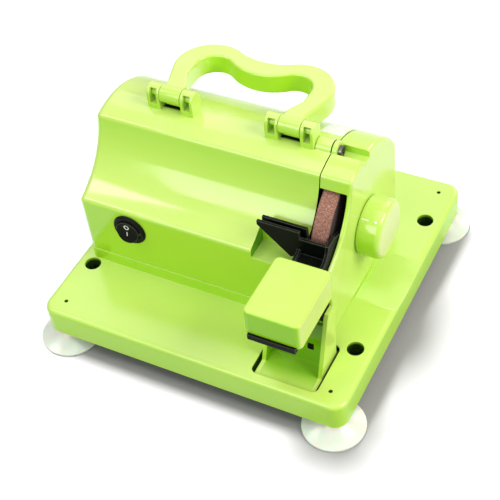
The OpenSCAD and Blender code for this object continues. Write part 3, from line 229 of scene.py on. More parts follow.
def makeDustAndPaintedSheen(make):  # dust that lies on top, and a painted sheen: paler colour painted on faces turned up or to the right
    tree, inner, outer = newGroup(
        "Shader",
        "dustAndPaintedSheen",
        [
            ("Vector", "Vector"),
            ("Normal", "Vector"),
            ("Amount", "Float", 0.2),
            ("Speck Scale", "Float", 900.0),
            ("Bloom Amount", "Float", 0.0),
            ("Side Amount", "Float", 0.0),
        ],
        [("Mask", "Float"), ("Painted Sheen", "Float")],
    )
    given = inner.outputs
    normal = splitOf(tree, given["Normal"])
    patch = noiseIn(tree, given["Vector"], make["patchScale"], detail=4.0, rough=0.6)
    patch = spread(tree, patch, make["patchSpan"])
    speck = noiseIn(tree, given["Vector"], given["Speck Scale"], detail=2.0, rough=0.7)
    speck = calc(tree, "ADD", spread(tree, speck, make["speckSpan"]), make["speckFloor"])
    upward = spread(tree, normal["Z"], make["dustUpward"])
    mask = calc(tree, "MULTIPLY", upward, patch, speck, given["Amount"])
    faded = calc(tree, "ADD", calc(tree, "MULTIPLY", patch, make["fadeShare"]), make["fadeFloor"])
    # painted sheen: faces turned up, and faces turned to the right, are painted paler
    lifted = spread(tree, normal["Z"], make["paintedSheenUpward"])
    paintedSheen = calc(tree, "MULTIPLY", lifted, faded, given["Bloom Amount"])
    paintedSideLight = calc(tree, "MULTIPLY", spread(tree, normal["X"], make["paintedSheenAside"]), given["Side Amount"])
    tree.links.new(mask, outer.inputs["Mask"])
    tree.links.new(calc(tree, "MAXIMUM", paintedSheen, paintedSideLight), outer.inputs["Painted Sheen"])
    return tree


scratchMake = {"lineSpan": (0.35, 0.65)}


def makeFineScratches(make):
    tree, inner, outer = newGroup(
        "Shader",
        "fineScratches",
        [
            ("Vector", "Vector"),
            ("Along", "Vector", (1.0, 40.0, 40.0)),
            ("Scale", "Float", 60.0),
            ("Depth", "Float", 1.0),
        ],
        [("Mask", "Float"), ("Height", "Float")],
    )
    given = inner.outputs
    mapping = addNode(tree, "ShaderNodeMapping")
    tree.links.new(given["Vector"], mapping.inputs["Vector"])
    tree.links.new(given["Along"], mapping.inputs["Scale"])
    lines = noiseIn(tree, mapping.outputs["Vector"], given["Scale"], detail=4.0, rough=0.65)
    mask = spread(tree, lines, make["lineSpan"])
    tree.links.new(mask, outer.inputs["Mask"])
    tree.links.new(calc(tree, "MULTIPLY", mask, given["Depth"]), outer.inputs["Height"])
    return tree


mouldSkin = makeMouldSkin(skinMake)
dustAndPaintedSheen = makeDustAndPaintedSheen(filmMake)
fineScratches = makeFineScratches(scratchMake)
print("shared effects built")


# material helpers

def startMaterial(name, **values):
    material = bpy.data.materials.new(name)
    tree = emptyTree(material)
    shader = setInputs(addNode(tree, "ShaderNodeBsdfPrincipled"), **values)
    out = addNode(tree, "ShaderNodeOutputMaterial")
    tree.links.new(shader.outputs[0], out.inputs["Surface"])
    return material, tree, shader, addNode(tree, "ShaderNodeTexCoord")


def placeGroup(tree, group, where, **values):
    node = addNode(tree, "ShaderNodeGroup", node_tree=group)
    tree.links.new(where.outputs["Object"], node.inputs["Vector"])
    if "Normal" in node.inputs:
        tree.links.new(where.outputs["Normal"], node.inputs["Normal"])
    return setInputs(node, **values)


def bumpFrom(tree, shader, height, strength, distance):
    bump = setInputs(addNode(tree, "ShaderNodeBump"), Strength=strength, Distance=distance)
    tree.links.new(height, bump.inputs["Height"])
    tree.links.new(bump.outputs["Normal"], shader.inputs["Normal"])


# places painted with shade, each a mask by place and direction of the surface

facing = {"loose": (0.4, 0.6), "clear": (0.6, 0.8), "full": (0.8, 0.95)}  # part of the normal on an axis


def readings(tree, where):
    return [splitOf(tree, where.outputs[key]) for key in ("Normal", "Object")]


def within(tree, value, span, soft=0.3):  # span and soft edge in mm
    low, high = span
    rise = ramp(tree, value, (low - soft, low))
    return calc(tree, "MULTIPLY", rise, ramp(tree, value, (high + soft, high)))


wheelRoom = {
    "axis": (6.0, 76.0),  # y and z
    "seam": 54.0,  # x
    "inward": (-0.30, -0.45),
    "sideways": (-0.6, -0.8),
}


def coverPaintedShade(tree, where):  # painted shade: faces of the wheel cover that look into the wheel room are painted near-black
    y, z = wheelRoom["axis"]
    fromAxis = vectorMath(tree, "SUBTRACT", where.outputs["Object"], (0, y * mm, z * mm))
    ray = vectorMath(tree, "NORMALIZE", vectorMath(tree, "MULTIPLY", fromAxis, (0, 1, 1)))
    turned = vectorMath(tree, "DOT_PRODUCT", ray, where.outputs["Normal"])
    inward = spread(tree, turned, wheelRoom["inward"])
    sideways = spread(tree, splitOf(tree, where.outputs["Normal"])["X"], wheelRoom["sideways"])
    return calc(tree, "MAXIMUM", inward, sideways)


knuckleShadows = {"legs": (-50.9, 30.3), "halfWide": 7.2, "along": (6.0, 13.0), "soft": 1.3}


def housingPaintedShade(tree, where):  # painted shade on the end face towards the wheel room, and painted shadows under the knuckles on an uncut surface
    normal, spot = readings(tree, where)
    past = calc(tree, "GREATER_THAN", spot["X"], wheelRoom["seam"] * mm)
    mask = calc(tree, "MULTIPLY", spread(tree, normal["X"], facing["clear"]), past)
    along = within(tree, spot["Y"], knuckleShadows["along"], knuckleShadows["soft"])
    band = calc(tree, "MULTIPLY", spread(tree, normal["Z"], facing["loose"]), along)
    for leg in knuckleShadows["legs"]:
        span = (leg - knuckleShadows["halfWide"], leg + knuckleShadows["halfWide"])
        knuckleShadow = calc(tree, "MULTIPLY", band, within(tree, spot["X"], span))
        mask = calc(tree, "MAXIMUM", mask, knuckleShadow)
    return mask


guidePocket = {
    "across": (0.0, 53.0),
    "along": (-80.0, -32.0),
    "floor": (78.0, 80.0),
    "floorShare": 0.4,
}


def pocketShade(tree, where):  # painted shade on the side and floor of the pocket beside the blade guide
    normal, spot = readings(tree, where)
    side = spread(tree, normal["X"], facing["clear"])
    upward = spread(tree, normal["Z"], facing["full"], (0.0, guidePocket["floorShare"]))
    floor = calc(tree, "MULTIPLY", upward, within(tree, spot["Z"], guidePocket["floor"]))
    across = within(tree, spot["X"], guidePocket["across"])
    along = within(tree, spot["Y"], guidePocket["along"])
    return calc(tree, "MULTIPLY", calc(tree, "MAXIMUM", side, floor), across, along)


restShade = {
    "between": (47.2, 81.8),
    "wall": (-0.3, -0.6),
    "plates": (0.4, 0.7),
    "floor": (-96.0, -82.0),
    "floorShare": 0.85,
    "behind": (-73.4, -72.6),
    "low": (32.0, 31.0),
    "edges": (0.5, 0.3),
    "window": ((70.4, 74.6), (39.8, 44.5)),  # x and z
    "capFront": (-0.55, -0.85),
}


def bracketPaintedShade(tree, where):  # painted shade in the channel between the bracket's plates
    normal, spot = readings(tree, where)
    wall = spread(tree, normal["Y"], restShade["wall"])
    plates = spread(tree, calc(tree, "MULTIPLY", normal["X"], normal["X"]), restShade["plates"])
    back = ramp(tree, spot["Y"], restShade["floor"], (0.0, restShade["floorShare"]))
    floor = calc(tree, "MULTIPLY", spread(tree, normal["Z"], facing["clear"]), back)
    shade = calc(tree, "MAXIMUM", wall, plates, floor)
    return calc(tree, "MULTIPLY", shade, within(tree, spot["X"], restShade["between"]))


def bracketBehindPaintedShade(tree, where):  # painted shade on the floor behind the bracket's wall, and on the edges of its window
    normal, spot = readings(tree, where)
    behind = ramp(tree, spot["Y"], restShade["behind"])
    low = ramp(tree, spot["Z"], restShade["low"])
    floor = calc(tree, "MULTIPLY", spread(tree, normal["Z"], facing["clear"]), behind, low)
    edges = spread(tree, calc(tree, "MULTIPLY", normal["Y"], normal["Y"]), restShade["edges"])
    window = [within(tree, spot[axis], span) for axis, span in zip("XZ", restShade["window"])]
    return calc(tree, "MAXIMUM", floor, calc(tree, "MULTIPLY", edges, *window))


def capFront(tree, where):  # the cap's front face, turned from the lamps
    return spread(tree, splitOf(tree, where.outputs["Normal"])["Y"], restShade["capFront"])


deckHoles = {
    "level": 32.0,
    "rim": 0.1,
    "wells": ((94.5, -55.0), (94.5, 62.0)),
    "wellReach": 5.5,
    "wellDepth": 2.6,
    "dimples": (93.5, 90.0),
    "dimpleReach": 1.4,
    "dimpleDepth": 0.9,
    "recess": ((42.2, 86.4), (-95.2, -56.8)),
    "recessRim": 0.2,
    "recessDepth": 1.0,
}


def deckHollowsPaintedShade(tree, where):  # painted shade in the bolt wells, the dimples and the gap round the bracket's foot
    hole = deckHoles
    spot = splitOf(tree, where.outputs["Object"])
    x, y, z = (spot[axis] for axis in "XYZ")
    wide, long = (calc(tree, "ABSOLUTE", value, 0.0) for value in (x, y))

    def below(rim, depth):
        return ramp(tree, z, (hole["level"] - rim, hole["level"] - depth))

    def near(across, along, centre, reach, depth):
        dx = calc(tree, "SUBTRACT", across, centre[0] * mm)
        dy = calc(tree, "SUBTRACT", along, centre[1] * mm)
        apart = calc(tree, "ADD", calc(tree, "MULTIPLY", dx, dx), calc(tree, "MULTIPLY", dy, dy))
        inside = calc(tree, "LESS_THAN", apart, (reach * mm) ** 2)
        return calc(tree, "MULTIPLY", inside, below(hole["rim"], depth))

    across, along = (within(tree, value, span) for value, span in zip((x, y), hole["recess"]))
    recess = calc(tree, "MULTIPLY", across, along, below(hole["recessRim"], hole["recessDepth"]))
    dimples = near(wide, long, hole["dimples"], hole["dimpleReach"], hole["dimpleDepth"])
    wells = [near(wide, y, centre, hole["wellReach"], hole["wellDepth"]) for centre in hole["wells"]]
    return calc(tree, "MAXIMUM", dimples, recess, *wells)


# plastics and rubber

limeGloss = {
    "deep": (0.375, 0.700, 0.022),
    "light": (0.400, 0.718, 0.028),
    "dust": (0.64, 0.78, 0.34),
    # pale colour and amounts of the painted sheen, paler colour painted on faces turned up and to the
    # right
    "pale": (0.64, 0.725, 0.24),
    "paintedSheen": 0.50,
    "side": 0.5,
    # inside: near-black painted shade for the wheel room, the knuckle shadows and the bracket's window
    "inside": (0.008, 0.010, 0.006),
    "gloss": 0.08,
    "matt": 0.15,
    "bump": 0.05,
    "film": 0.12,
    "shader": {"Specular IOR Level": 0.6},
}
# the housing takes more painted sheen and a painted-shade colour for its pocket; the knob takes more
# painted side light
limeHousing = {**limeGloss, "paintedSheen": 0.66, "shade": (0.08, 0.27, 0.003)}
limeKnob = {**limeGloss, "side": 0.7}
limeDeck = {
    **limeGloss,
    "side": 0.0,
    # inside: dark painted shade for the deck's wells, dimples and recess gap
    "inside": (0.016, 0.050, 0.005),
    "gloss": 0.19,
    "matt": 0.225,
}
limeShaded = {"Specular IOR Level": 0.25}
limeCap = {
    **limeGloss,
    # painted sheen and painted side light on the cap, and the colour of the painted shade on its front
    "paintedSheen": 0.48,
    "side": 0.65,
    "shade": (0.27, 0.60, 0.010),
    "shader": limeShaded,
}
limeBracket = {**limeGloss, "shade": (0.16, 0.42, 0.002), "shader": limeShaded}

blackSatin = {
    "deep": (0.002, 0.003, 0.002),
    "light": (0.004, 0.005, 0.003),
    "dust": (0.03, 0.03, 0.026),
    # edge colour and reach of the painted highlight along edges
    "edge": (0.085, 0.095, 0.075),
    "edgeReach": 0.9 * mm,
    "edgeTurn": (0.995, 0.90),
    "gloss": 0.34,
    "matt": 0.52,
    "bump": 0.25,
    "film": 0.2,
    "shader": {"Specular IOR Level": 0.06},
}

ivoryPlastic = {
    "deep": (0.72, 0.71, 0.66),
    "light": (0.80, 0.79, 0.75),
    "dust": (0.60, 0.58, 0.52),
    "gloss": 0.32,
    "matt": 0.45,
    "bump": 0.12,
    "film": 0.3,
}

sheathPlastic = {
    "deep": (0.035, 0.10, 0.32),
    "light": (0.05, 0.14, 0.40),
    "dust": (0.30, 0.32, 0.36),
    "gloss": 0.35,
    "matt": 0.50,
    "bump": 0.1,
    "film": 0.2,
}

cupRubber = {
    "deep": (0.66, 0.65, 0.56),
    "light": (0.74, 0.73, 0.65),
    "dust": (0.70, 0.70, 0.64),
    "gloss": 0.16,
    "matt": 0.34,
    "bump": 0.05,
    "film": 0.2,
    "shader": {
        "Subsurface Weight": 0.7,
        "Subsurface Scale": 0.008,
        # a faint painted glow: the cups give off a little light of their own
        "Emission Color": (1.0, 0.97, 0.90, 1.0),
        "Emission Strength": 0.04,
    },
}

motorCoat = {
    "deep": (0.19, 0.20, 0.21),
    "light": (0.25, 0.26, 0.27),
    "dust": (0.34, 0.33, 0.31),
    "gloss": 0.34,
    "matt": 0.50,
    "bump": 0.35,
    "film": 0.3,
}


def paintedEdgeHighlight(tree, look):  # painted highlight: edges painted lighter than the flats
    bevel = setInputs(addNode(tree, "ShaderNodeBevel", samples=6), Radius=look["edgeReach"])
    flat = addNode(tree, "ShaderNodeNewGeometry")
    turned = vectorMath(tree, "DOT_PRODUCT", bevel.outputs["Normal"], flat.outputs["True Normal"])
    return spread(tree, turned, look["edgeTurn"])


def mouldedPlastic(name, look, *tones):  # a tone is a painted-shade mask function and its colour's key in the look
    material, tree, shader, where = startMaterial(name, **look.get("shader", {}))
    skin = placeGroup(tree, mouldSkin, where, Gloss=look["gloss"], Matt=look["matt"])
    dust = placeGroup(tree, dustAndPaintedSheen, where, Amount=look["film"])
    colour = blendColour(tree, skin.outputs["Flow"], look["deep"], look["light"])
    # painted sheen: faces turned up or to the right are painted paler
    if "pale" in look:
        setInputs(dust, Bloom_Amount=look["paintedSheen"], Side_Amount=look["side"])
        colour = blendColour(tree, dust.outputs["Painted Sheen"], colour, look["pale"])
    colour = blendColour(tree, dust.outputs["Mask"], colour, look["dust"])
    # painted highlight along edges
    if "edge" in look:
        colour = blendColour(tree, paintedEdgeHighlight(tree, look), colour, look["edge"])
    for mask, key in tones:
        colour = blendColour(tree, mask(tree, where), colour, look[key])
    tree.links.new(colour, shader.inputs["Base Color"])
    dulled = calc(tree, "MULTIPLY", dust.outputs["Mask"], filmMake["roughen"])
    tree.links.new(calc(tree, "ADD", skin.outputs["Roughness"], dulled), shader.inputs["Roughness"])
    bumpFrom(tree, shader, skin.outputs["Height"], look["bump"], skinMake["bumpDepth"])
    return material


# metals

metalMake = {
    "toneScale": 220.0,
    "toneSpan": (0.3, 0.7),
    "dust": (0.30, 0.28, 0.25),
    "film": 0.18,
    "bump": 0.15,
    "bumpDepth": 0.03 * mm,
}

steelLook = {
    "dark": (0.42, 0.42, 0.41),
    "bright": (0.66, 0.66, 0.64),
    "gloss": 0.20,
    "matt": 0.40,
    "along": (1.0, 30.0, 30.0),
    "scale": 70.0,
}
darkSteelLook = {
    **steelLook,
    "dark": (0.05, 0.05, 0.05),
    "bright": (0.20, 0.20, 0.19),
    "gloss": 0.22,
}

brassLook = {
    "dark": (0.55, 0.38, 0.13),
    "bright": (0.74, 0.55, 0.22),
    "gloss": 0.24,
    "matt": 0.42,
    "along": (30.0, 30.0, 1.0),
    "scale": 60.0,
}

castLook = {
    "dark": (0.38, 0.39, 0.40),
    "bright": (0.55, 0.56, 0.57),
    "gloss": 0.38,
    "matt": 0.58,
    "along": (12.0, 12.0, 12.0),
    "scale": 55.0,
}


def brushedMetal(name, look):
    material, tree, shader, where = startMaterial(name, Metallic=1.0)
    lines = placeGroup(tree, fineScratches, where, Along=look["along"], Scale=look["scale"])
    dust = placeGroup(tree, dustAndPaintedSheen, where, Amount=metalMake["film"])
    tone = noiseIn(tree, where.outputs["Object"], metalMake["toneScale"], detail=4.0)
    tone = spread(tree, tone, metalMake["toneSpan"])
    colour = blendColour(tree, tone, look["dark"], look["bright"])
    colour = blendColour(tree, dust.outputs["Mask"], colour, metalMake["dust"])
    tree.links.new(colour, shader.inputs["Base Color"])
    rough = spread(tree, lines.outputs["Mask"], (0.0, 1.0), (look["gloss"], look["matt"]))
    tree.links.new(rough, shader.inputs["Roughness"])
    bumpFrom(tree, shader, lines.outputs["Height"], metalMake["bump"], metalMake["bumpDepth"])
    return material


stackLook = {
    "mmPerRadian": 0.65,
    "waveTurn": 20.0,  # radians per unit in the Wave texture
    "dark": (0.10, 0.10, 0.10),
    "bright": (0.36, 0.36, 0.35),
    "toneScale": 300.0,
    "toneSpan": (0.3, 0.7),
    "toneEnds": (0.6, 1.0),
    "rough": (0.65, 0.38),
    "bump": 0.4,
    "bumpDepth": 0.08 * mm,
}


def laminatedStack(look):
    material, tree, shader, where = startMaterial("laminatedStack", Metallic=1.0)
    wave = addNode(tree, "ShaderNodeTexWave", wave_type="BANDS", bands_direction="X")
    setInputs(wave, Scale=1.0 / (look["mmPerRadian"] * mm) / look["waveTurn"], Distortion=0.0)
    tree.links.new(where.outputs["Object"], wave.inputs["Vector"])
    tone = noiseIn(tree, where.outputs["Object"], look["toneScale"], detail=3.0)
    tone = spread(tree, tone, look["toneSpan"], look["toneEnds"])
    line = calc(tree, "MULTIPLY", wave.outputs["Fac"], tone)
    tree.links.new(blendColour(tree, line, look["dark"], look["bright"]), shader.inputs["Base Color"])
    tree.links.new(spread(tree, line, (0.0, 1.0), look["rough"]), shader.inputs["Roughness"])
    bumpFrom(tree, shader, wave.outputs["Fac"], look["bump"], look["bumpDepth"])
    return material


# stone, label and print

stoneLook = {
    "grain": (0.31, 0.136, 0.094),
    "bond": (0.20, 0.084, 0.058),
    "fleck": (0.46, 0.255, 0.190),
    # side: dark colour painted on the wheel's flanks as painted shade
    "side": (0.035, 0.022, 0.018),
    "cells": 1900.0,
    "bondSpan": (0.15, 0.75),
    "fleckSpan": (0.50, 0.92),
    "patchScale": 130.0,
    "patchSpan": (0.35, 0.7),
    "patchShare": 0.4,
    "flankSpan": (0.45, 0.75),
    "rough": (0.70, 0.95),
    "bump": 0.5,
    "bumpDepth": 0.15 * mm,
}


def abrasiveStone(look):
    material, tree, shader, where = startMaterial("abrasiveStone")
    cell = setInputs(addNode(tree, "ShaderNodeTexVoronoi"), Scale=look["cells"])
    tree.links.new(where.outputs["Object"], cell.inputs["Vector"])
    pick = addNode(tree, "ShaderNodeSeparateColor")
    tree.links.new(cell.outputs["Color"], pick.inputs[0])
    edge = spread(tree, cell.outputs["Distance"], look["bondSpan"])
    fleck = spread(tree, pick.outputs["Red"], look["fleckSpan"])
    patch = noiseIn(tree, where.outputs["Object"], look["patchScale"], detail=4.0)
    patch = spread(tree, patch, look["patchSpan"], (0.0, look["patchShare"]))
    across = splitOf(tree, where.outputs["Normal"])["X"]
    flank = spread(tree, calc(tree, "MULTIPLY", across, across), look["flankSpan"])
    colour = blendColour(tree, edge, look["grain"], look["bond"])
    colour = blendColour(tree, fleck, colour, look["fleck"])
    colour = blendColour(tree, patch, colour, look["bond"])
    # painted shade: the flanks are painted dark
    colour = blendColour(tree, flank, colour, look["side"])
    tree.links.new(colour, shader.inputs["Base Color"])
    rough = spread(tree, pick.outputs["Green"], (0.0, 1.0), look["rough"])
    tree.links.new(rough, shader.inputs["Roughness"])
    height = calc(tree, "SUBTRACT", pick.outputs["Blue"], cell.outputs["Distance"])
    bumpFrom(tree, shader, height, look["bump"], look["bumpDepth"])
    return material


paperMake = {"along": (9.0, 9.0, 2.0), "scale": 180.0, "bump": 0.08, "bumpDepth": 0.05 * mm}
printLook = {"sheet": (0.88, 0.89, 0.87), "fibre": (0.80, 0.80, 0.78), "rough": (0.38, 0.52)}
labelLook = {"sheet": (0.80, 0.80, 0.78), "fibre": (0.72, 0.72, 0.69), "rough": (0.34, 0.48)}


def labelPaper(name, look):
    material, tree, shader, where = startMaterial(name)
    fibre = placeGroup(tree, fineScratches, where, Along=paperMake["along"], Scale=paperMake["scale"])
    mask = fibre.outputs["Mask"]
    tree.links.new(blendColour(tree, mask, look["sheet"], look["fibre"]), shader.inputs["Base Color"])
    tree.links.new(spread(tree, mask, (0.0, 1.0), look["rough"]), shader.inputs["Roughness"])
    bumpFrom(tree, shader, fibre.outputs["Height"], paperMake["bump"], paperMake["bumpDepth"])
    return material


# finish of each slot, and of the nodes with a finish of their own

finishes = {
    "lime_plastic": mouldedPlastic("limeGlossPlastic", limeGloss),
    "black_plastic": mouldedPlastic("blackSatinPlastic", blackSatin),
    "white_plastic": mouldedPlastic("ivoryBlockPlastic", ivoryPlastic),
    "lead_sheath": mouldedPlastic("leadSheathPlastic", sheathPlastic),
    "clear_rubber": mouldedPlastic("milkyCupRubber", cupRubber),
    "motor_paint": mouldedPlastic("motorCoat", motorCoat),
    "steel": brushedMetal("brushedSteel", steelLook),
    "brass_tabs": brushedMetal("brassTabs", brassLook),
    "cradle_metal": brushedMetal("castCradle", castLook),
    "abrasive": abrasiveStone(stoneLook),
    "laminations": laminatedStack(stackLook),
}
housingTones = (housingPaintedShade, "inside"), (pocketShade, "shade")
bracketTones = (bracketPaintedShade, "shade"), (bracketBehindPaintedShade, "inside")
ownFinishes = {
    "wheel_cover": mouldedPlastic("limeCoverPlastic", limeGloss, (coverPaintedShade, "inside")),
    "motor_housing": mouldedPlastic("limeHousingPlastic", limeHousing, *housingTones),
    "angle_knob": mouldedPlastic("limeKnobPlastic", limeKnob),
    "rest_cap": mouldedPlastic("limeCapPlastic", limeCap, (capFront, "shade")),
    "rest_bracket": mouldedPlastic("limeBracketPlastic", limeBracket, *bracketTones),
    "base_shell": mouldedPlastic("limeDeckPlastic", limeDeck, (deckHollowsPaintedShade, "inside")),
    "cover_screw": brushedMetal("darkenedSteel", darkSteelLook),
}
papers = {
    "print": labelPaper("printWhite", printLook),
    "label": labelPaper("blankLabel", labelLook),
}
print("materials built:", len(finishes) + len(ownFinishes) + len(papers))


# finish of the carried-over solids

edgeFinish = {
    "weld": 0.004 * mm,
    "flat": math.radians(0.6),
    "sharp": math.radians(34),
    "shade": math.radians(38),
    "width": 0.32 * mm,
    "segments": 2,
    "widths": {
        "motor_housing": 0.5 * mm,
        "wheel_cover": 0.5 * mm,
        "base_shell": 0.5 * mm,
        "rest_cap": 0.0,
        "suction_cups": 0.2 * mm,
        "blade_guide": 0.22 * mm,
        "angle_knob": 0.3 * mm,
    },
    "plain": ("switch_leads", "motor_leads", "grinding_wheel"),
}


def makeSoftShade():
    tree, inner, outer = newGroup(
        "Geometry",
        "softShade",
        [("Geometry", "Geometry"), ("Crease", "Float")],
        [("Geometry", "Geometry")],
    )
    faces = addNode(tree, "GeometryNodeSetShadeSmooth", domain="FACE")
    edges = setInputs(addNode(tree, "GeometryNodeSetShadeSmooth", domain="EDGE"), Shade_Smooth=False)
    angle = addNode(tree, "GeometryNodeInputMeshEdgeAngle")
    test = addNode(tree, "FunctionNodeCompare", data_type="FLOAT", operation="GREATER_THAN")
    link = tree.links.new
    link(inner.outputs["Geometry"], faces.inputs["Geometry"])
    link(faces.outputs["Geometry"], edges.inputs["Geometry"])
    link(angle.outputs["Unsigned Angle"], test.inputs[0])
    link(inner.outputs["Crease"], test.inputs[1])
    link(test.outputs["Result"], edges.inputs["Selection"])
    link(edges.outputs["Geometry"], outer.inputs["Geometry"])
    return tree


def socketId(tree, label):
    sockets = tree.interface.items_tree
    return next(s.identifier for s in sockets if s.in_out == "INPUT" and s.name == label)


softShade = makeSoftShade()
slotOf = {part["node"]: part["material_slot"] for part in frame["record"]["subparts"]}


def finishSolid(name, obj, look):
    weld = obj.modifiers.new("weld", "WELD")
    weld.merge_threshold = look["weld"]
    flat = obj.modifiers.new("flat", "DECIMATE")
    flat.decimate_type = "DISSOLVE"
    flat.angle_limit = look["flat"]
    width = look["widths"].get(name, look["width"])
    if width and name not in look["plain"]:
        bevel = obj.modifiers.new("edges", "BEVEL")
        bevel.width = width
        bevel.segments = look["segments"]
        bevel.limit_method = "ANGLE"
        bevel.angle_limit = look["sharp"]
        bevel.use_clamp_overlap = False
        bevel.miter_outer = "MITER_ARC"
    shade = obj.modifiers.new("shade", "NODES")
    shade.node_group = softShade
    shade[socketId(softShade, "Crease")] = look["shade"]
    weigh = obj.modifiers.new("weigh", "WEIGHTED_NORMAL")
    weigh.keep_sharp = True


for name, obj in nodes.items():
    finish = ownFinishes.get(name, finishes[slotOf[name]])
    if not obj.material_slots:
        obj.data.materials.append(finish)
    for place in obj.material_slots:
        place.material = finish
    finishSolid(name, obj, edgeFinish)
print("solids finished:", len(nodes))


# printed marks and the blank label

markDepth = {"lift": 0.06 * mm, "sink": 0.10 * mm}


def surfaceOf(name):
    mesh = nodes[name].data
    return BVHTree.FromPolygons([v.co for v in mesh.vertices], [p.vertices for p in mesh.polygons])


def steps(a, b, n):
    return [a + (b - a) * i / n for i in range(n + 1)]


def ringAngles(n):
    return [math.tau * i / n for i in range(n)]


def turnOutwards(mesh):
    work = bmesh.new()
    work.from_mesh(mesh)
    bmesh.ops.recalc_face_normals(work, faces=work.faces)
    work.to_mesh(mesh)
    work.free()
    for face in mesh.polygons:
        face.use_smooth = False


def layPatch(name, tree, rows, aim, material, body, depth=markDepth, closed=False):
    towards = Vector(aim).normalized()
    top, low = [], []
    for start in (point for row in rows for point in row):
        spot, normal, _, _ = tree.ray_cast(Vector(start), towards)
        if normal.dot(towards) > 0:
            normal = -normal
        top.append(spot + normal * depth["lift"])
        low.append(spot - normal * depth["sink"])
    count, width, half = len(rows), len(rows[0]), len(top)

    def at(i, j):
        return i * width + j % width

    faces = []
    span = width if closed else width - 1
    for i in range(count - 1):
        for j in range(span):
            quad = (at(i, j), at(i, j + 1), at(i + 1, j + 1), at(i + 1, j))
            faces.append(quad)
            faces.append(tuple(half + k for k in reversed(quad)))
    rim = [(at(i, j), at(i, j + 1)) for i in (0, count - 1) for j in range(span)]
    if not closed:
        rim += [(at(i, j), at(i + 1, j)) for j in (0, width - 1) for i in range(count - 1)]
    faces += [(a, b, half + b, half + a) for a, b in rim]
    mesh = bpy.data.meshes.new(name)
    mesh.from_pydata(top + low, [], faces)
    turnOutwards(mesh)
    mesh.materials.append(material)
    piece = bpy.data.objects.new(name, mesh)
    scene.collection.objects.link(piece)
    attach(piece, body)


labelPatch = {
    "x": (42.0, 56.0, 4),  # from, to and number of steps
    "y": (21.0, 37.0, 16),
    "above": 200.0,
    "lift": 0.12 * mm,
    "sink": 0.2 * mm,
}

barrelSurface = surfaceOf("motor_housing")
blank = papers["label"]
down = (0, 0, -1)
above = labelPatch["above"] * mm
rows = [[(x * mm, y * mm, above) for x in steps(*labelPatch["x"])] for y in steps(*labelPatch["y"])]
layPatch("blank_label", barrelSurface, rows, down, blank, "frame", labelPatch)

knobMarks = {
    "axis": (6.0, 76.0),  # y and z
    "toward": (-11.3, 15.7),
    "start": 60.0,
    "line": (78.8, 83.6, 8),
    "lineWide": (-0.35, 0.35, 2),
    "dot": 88.2,
    "dotRings": (0.02, 0.375, 0.75),
    "dotSides": 16,
}

knobSurface = surfaceOf("angle_knob")
white = papers["print"]
reach = Vector((0, *knobMarks["toward"])).normalized()
across = Vector((0, -reach.z, reach.y))


def knobStart(x, side):
    return Vector((x, *knobMarks["axis"])) * mm + (reach * knobMarks["start"] + across * side) * mm


rows = [[knobStart(x, side) for side in steps(*knobMarks["lineWide"])] for x in steps(*knobMarks["line"])]
layPatch("knob_line", knobSurface, rows, -reach, white, "guide")
angles = ringAngles(knobMarks["dotSides"])
rows = [
    [knobStart(knobMarks["dot"] + r * math.cos(t), r * math.sin(t)) for t in angles]
    for r in knobMarks["dotRings"]
]
layPatch("knob_dot", knobSurface, rows, -reach, white, "guide", closed=True)

rockerMarks = {
    "x": -62.3,
    "ahead": -80.0,
    "ringZ": 75.0,
    "ring": (1.25, 1.85),
    "ringSides": 24,
    "barZ": 69.8,
    "barWide": (-0.3, 0.3),
    "barTall": (-1.5, 1.5, 5),
}

rockerSurface = surfaceOf("rocker_button")
inwards = (0, 1, 0)


def rockerStart(side, z):
    return (rockerMarks["x"] + side) * mm, rockerMarks["ahead"] * mm, z * mm


angles = ringAngles(rockerMarks["ringSides"])
rows = [
    [rockerStart(r * math.cos(t), rockerMarks["ringZ"] + r * math.sin(t)) for t in angles]
    for r in rockerMarks["ring"]
]
layPatch("rocker_off_mark", rockerSurface, rows, inwards, white, "rocker", closed=True)
rows = [
    [rockerStart(side, rockerMarks["barZ"] + height) for side in rockerMarks["barWide"]]
    for height in steps(*rockerMarks["barTall"])
]
layPatch("rocker_on_mark", rockerSurface, rows, inwards, white, "rocker")
print("label and marks laid")


# grit that stands out of the wheel's rim

wheelGrit = {
    "Density": 420000.0,
    "Grain Size": 0.22 * mm,
    "Gap": 0.5 * mm,
    "Seed": 7,
    "Material": finishes["abrasive"],
}
gritShape = {
    "subdivisions": 1,
    "leastScale": (0.5, 0.4, 0.5),
    "mostScale": (1.2, 1.0, 1.1),
    "around": 120,
    "edge": 0.35 * mm,
    "sunk": 0.06 * mm,
}


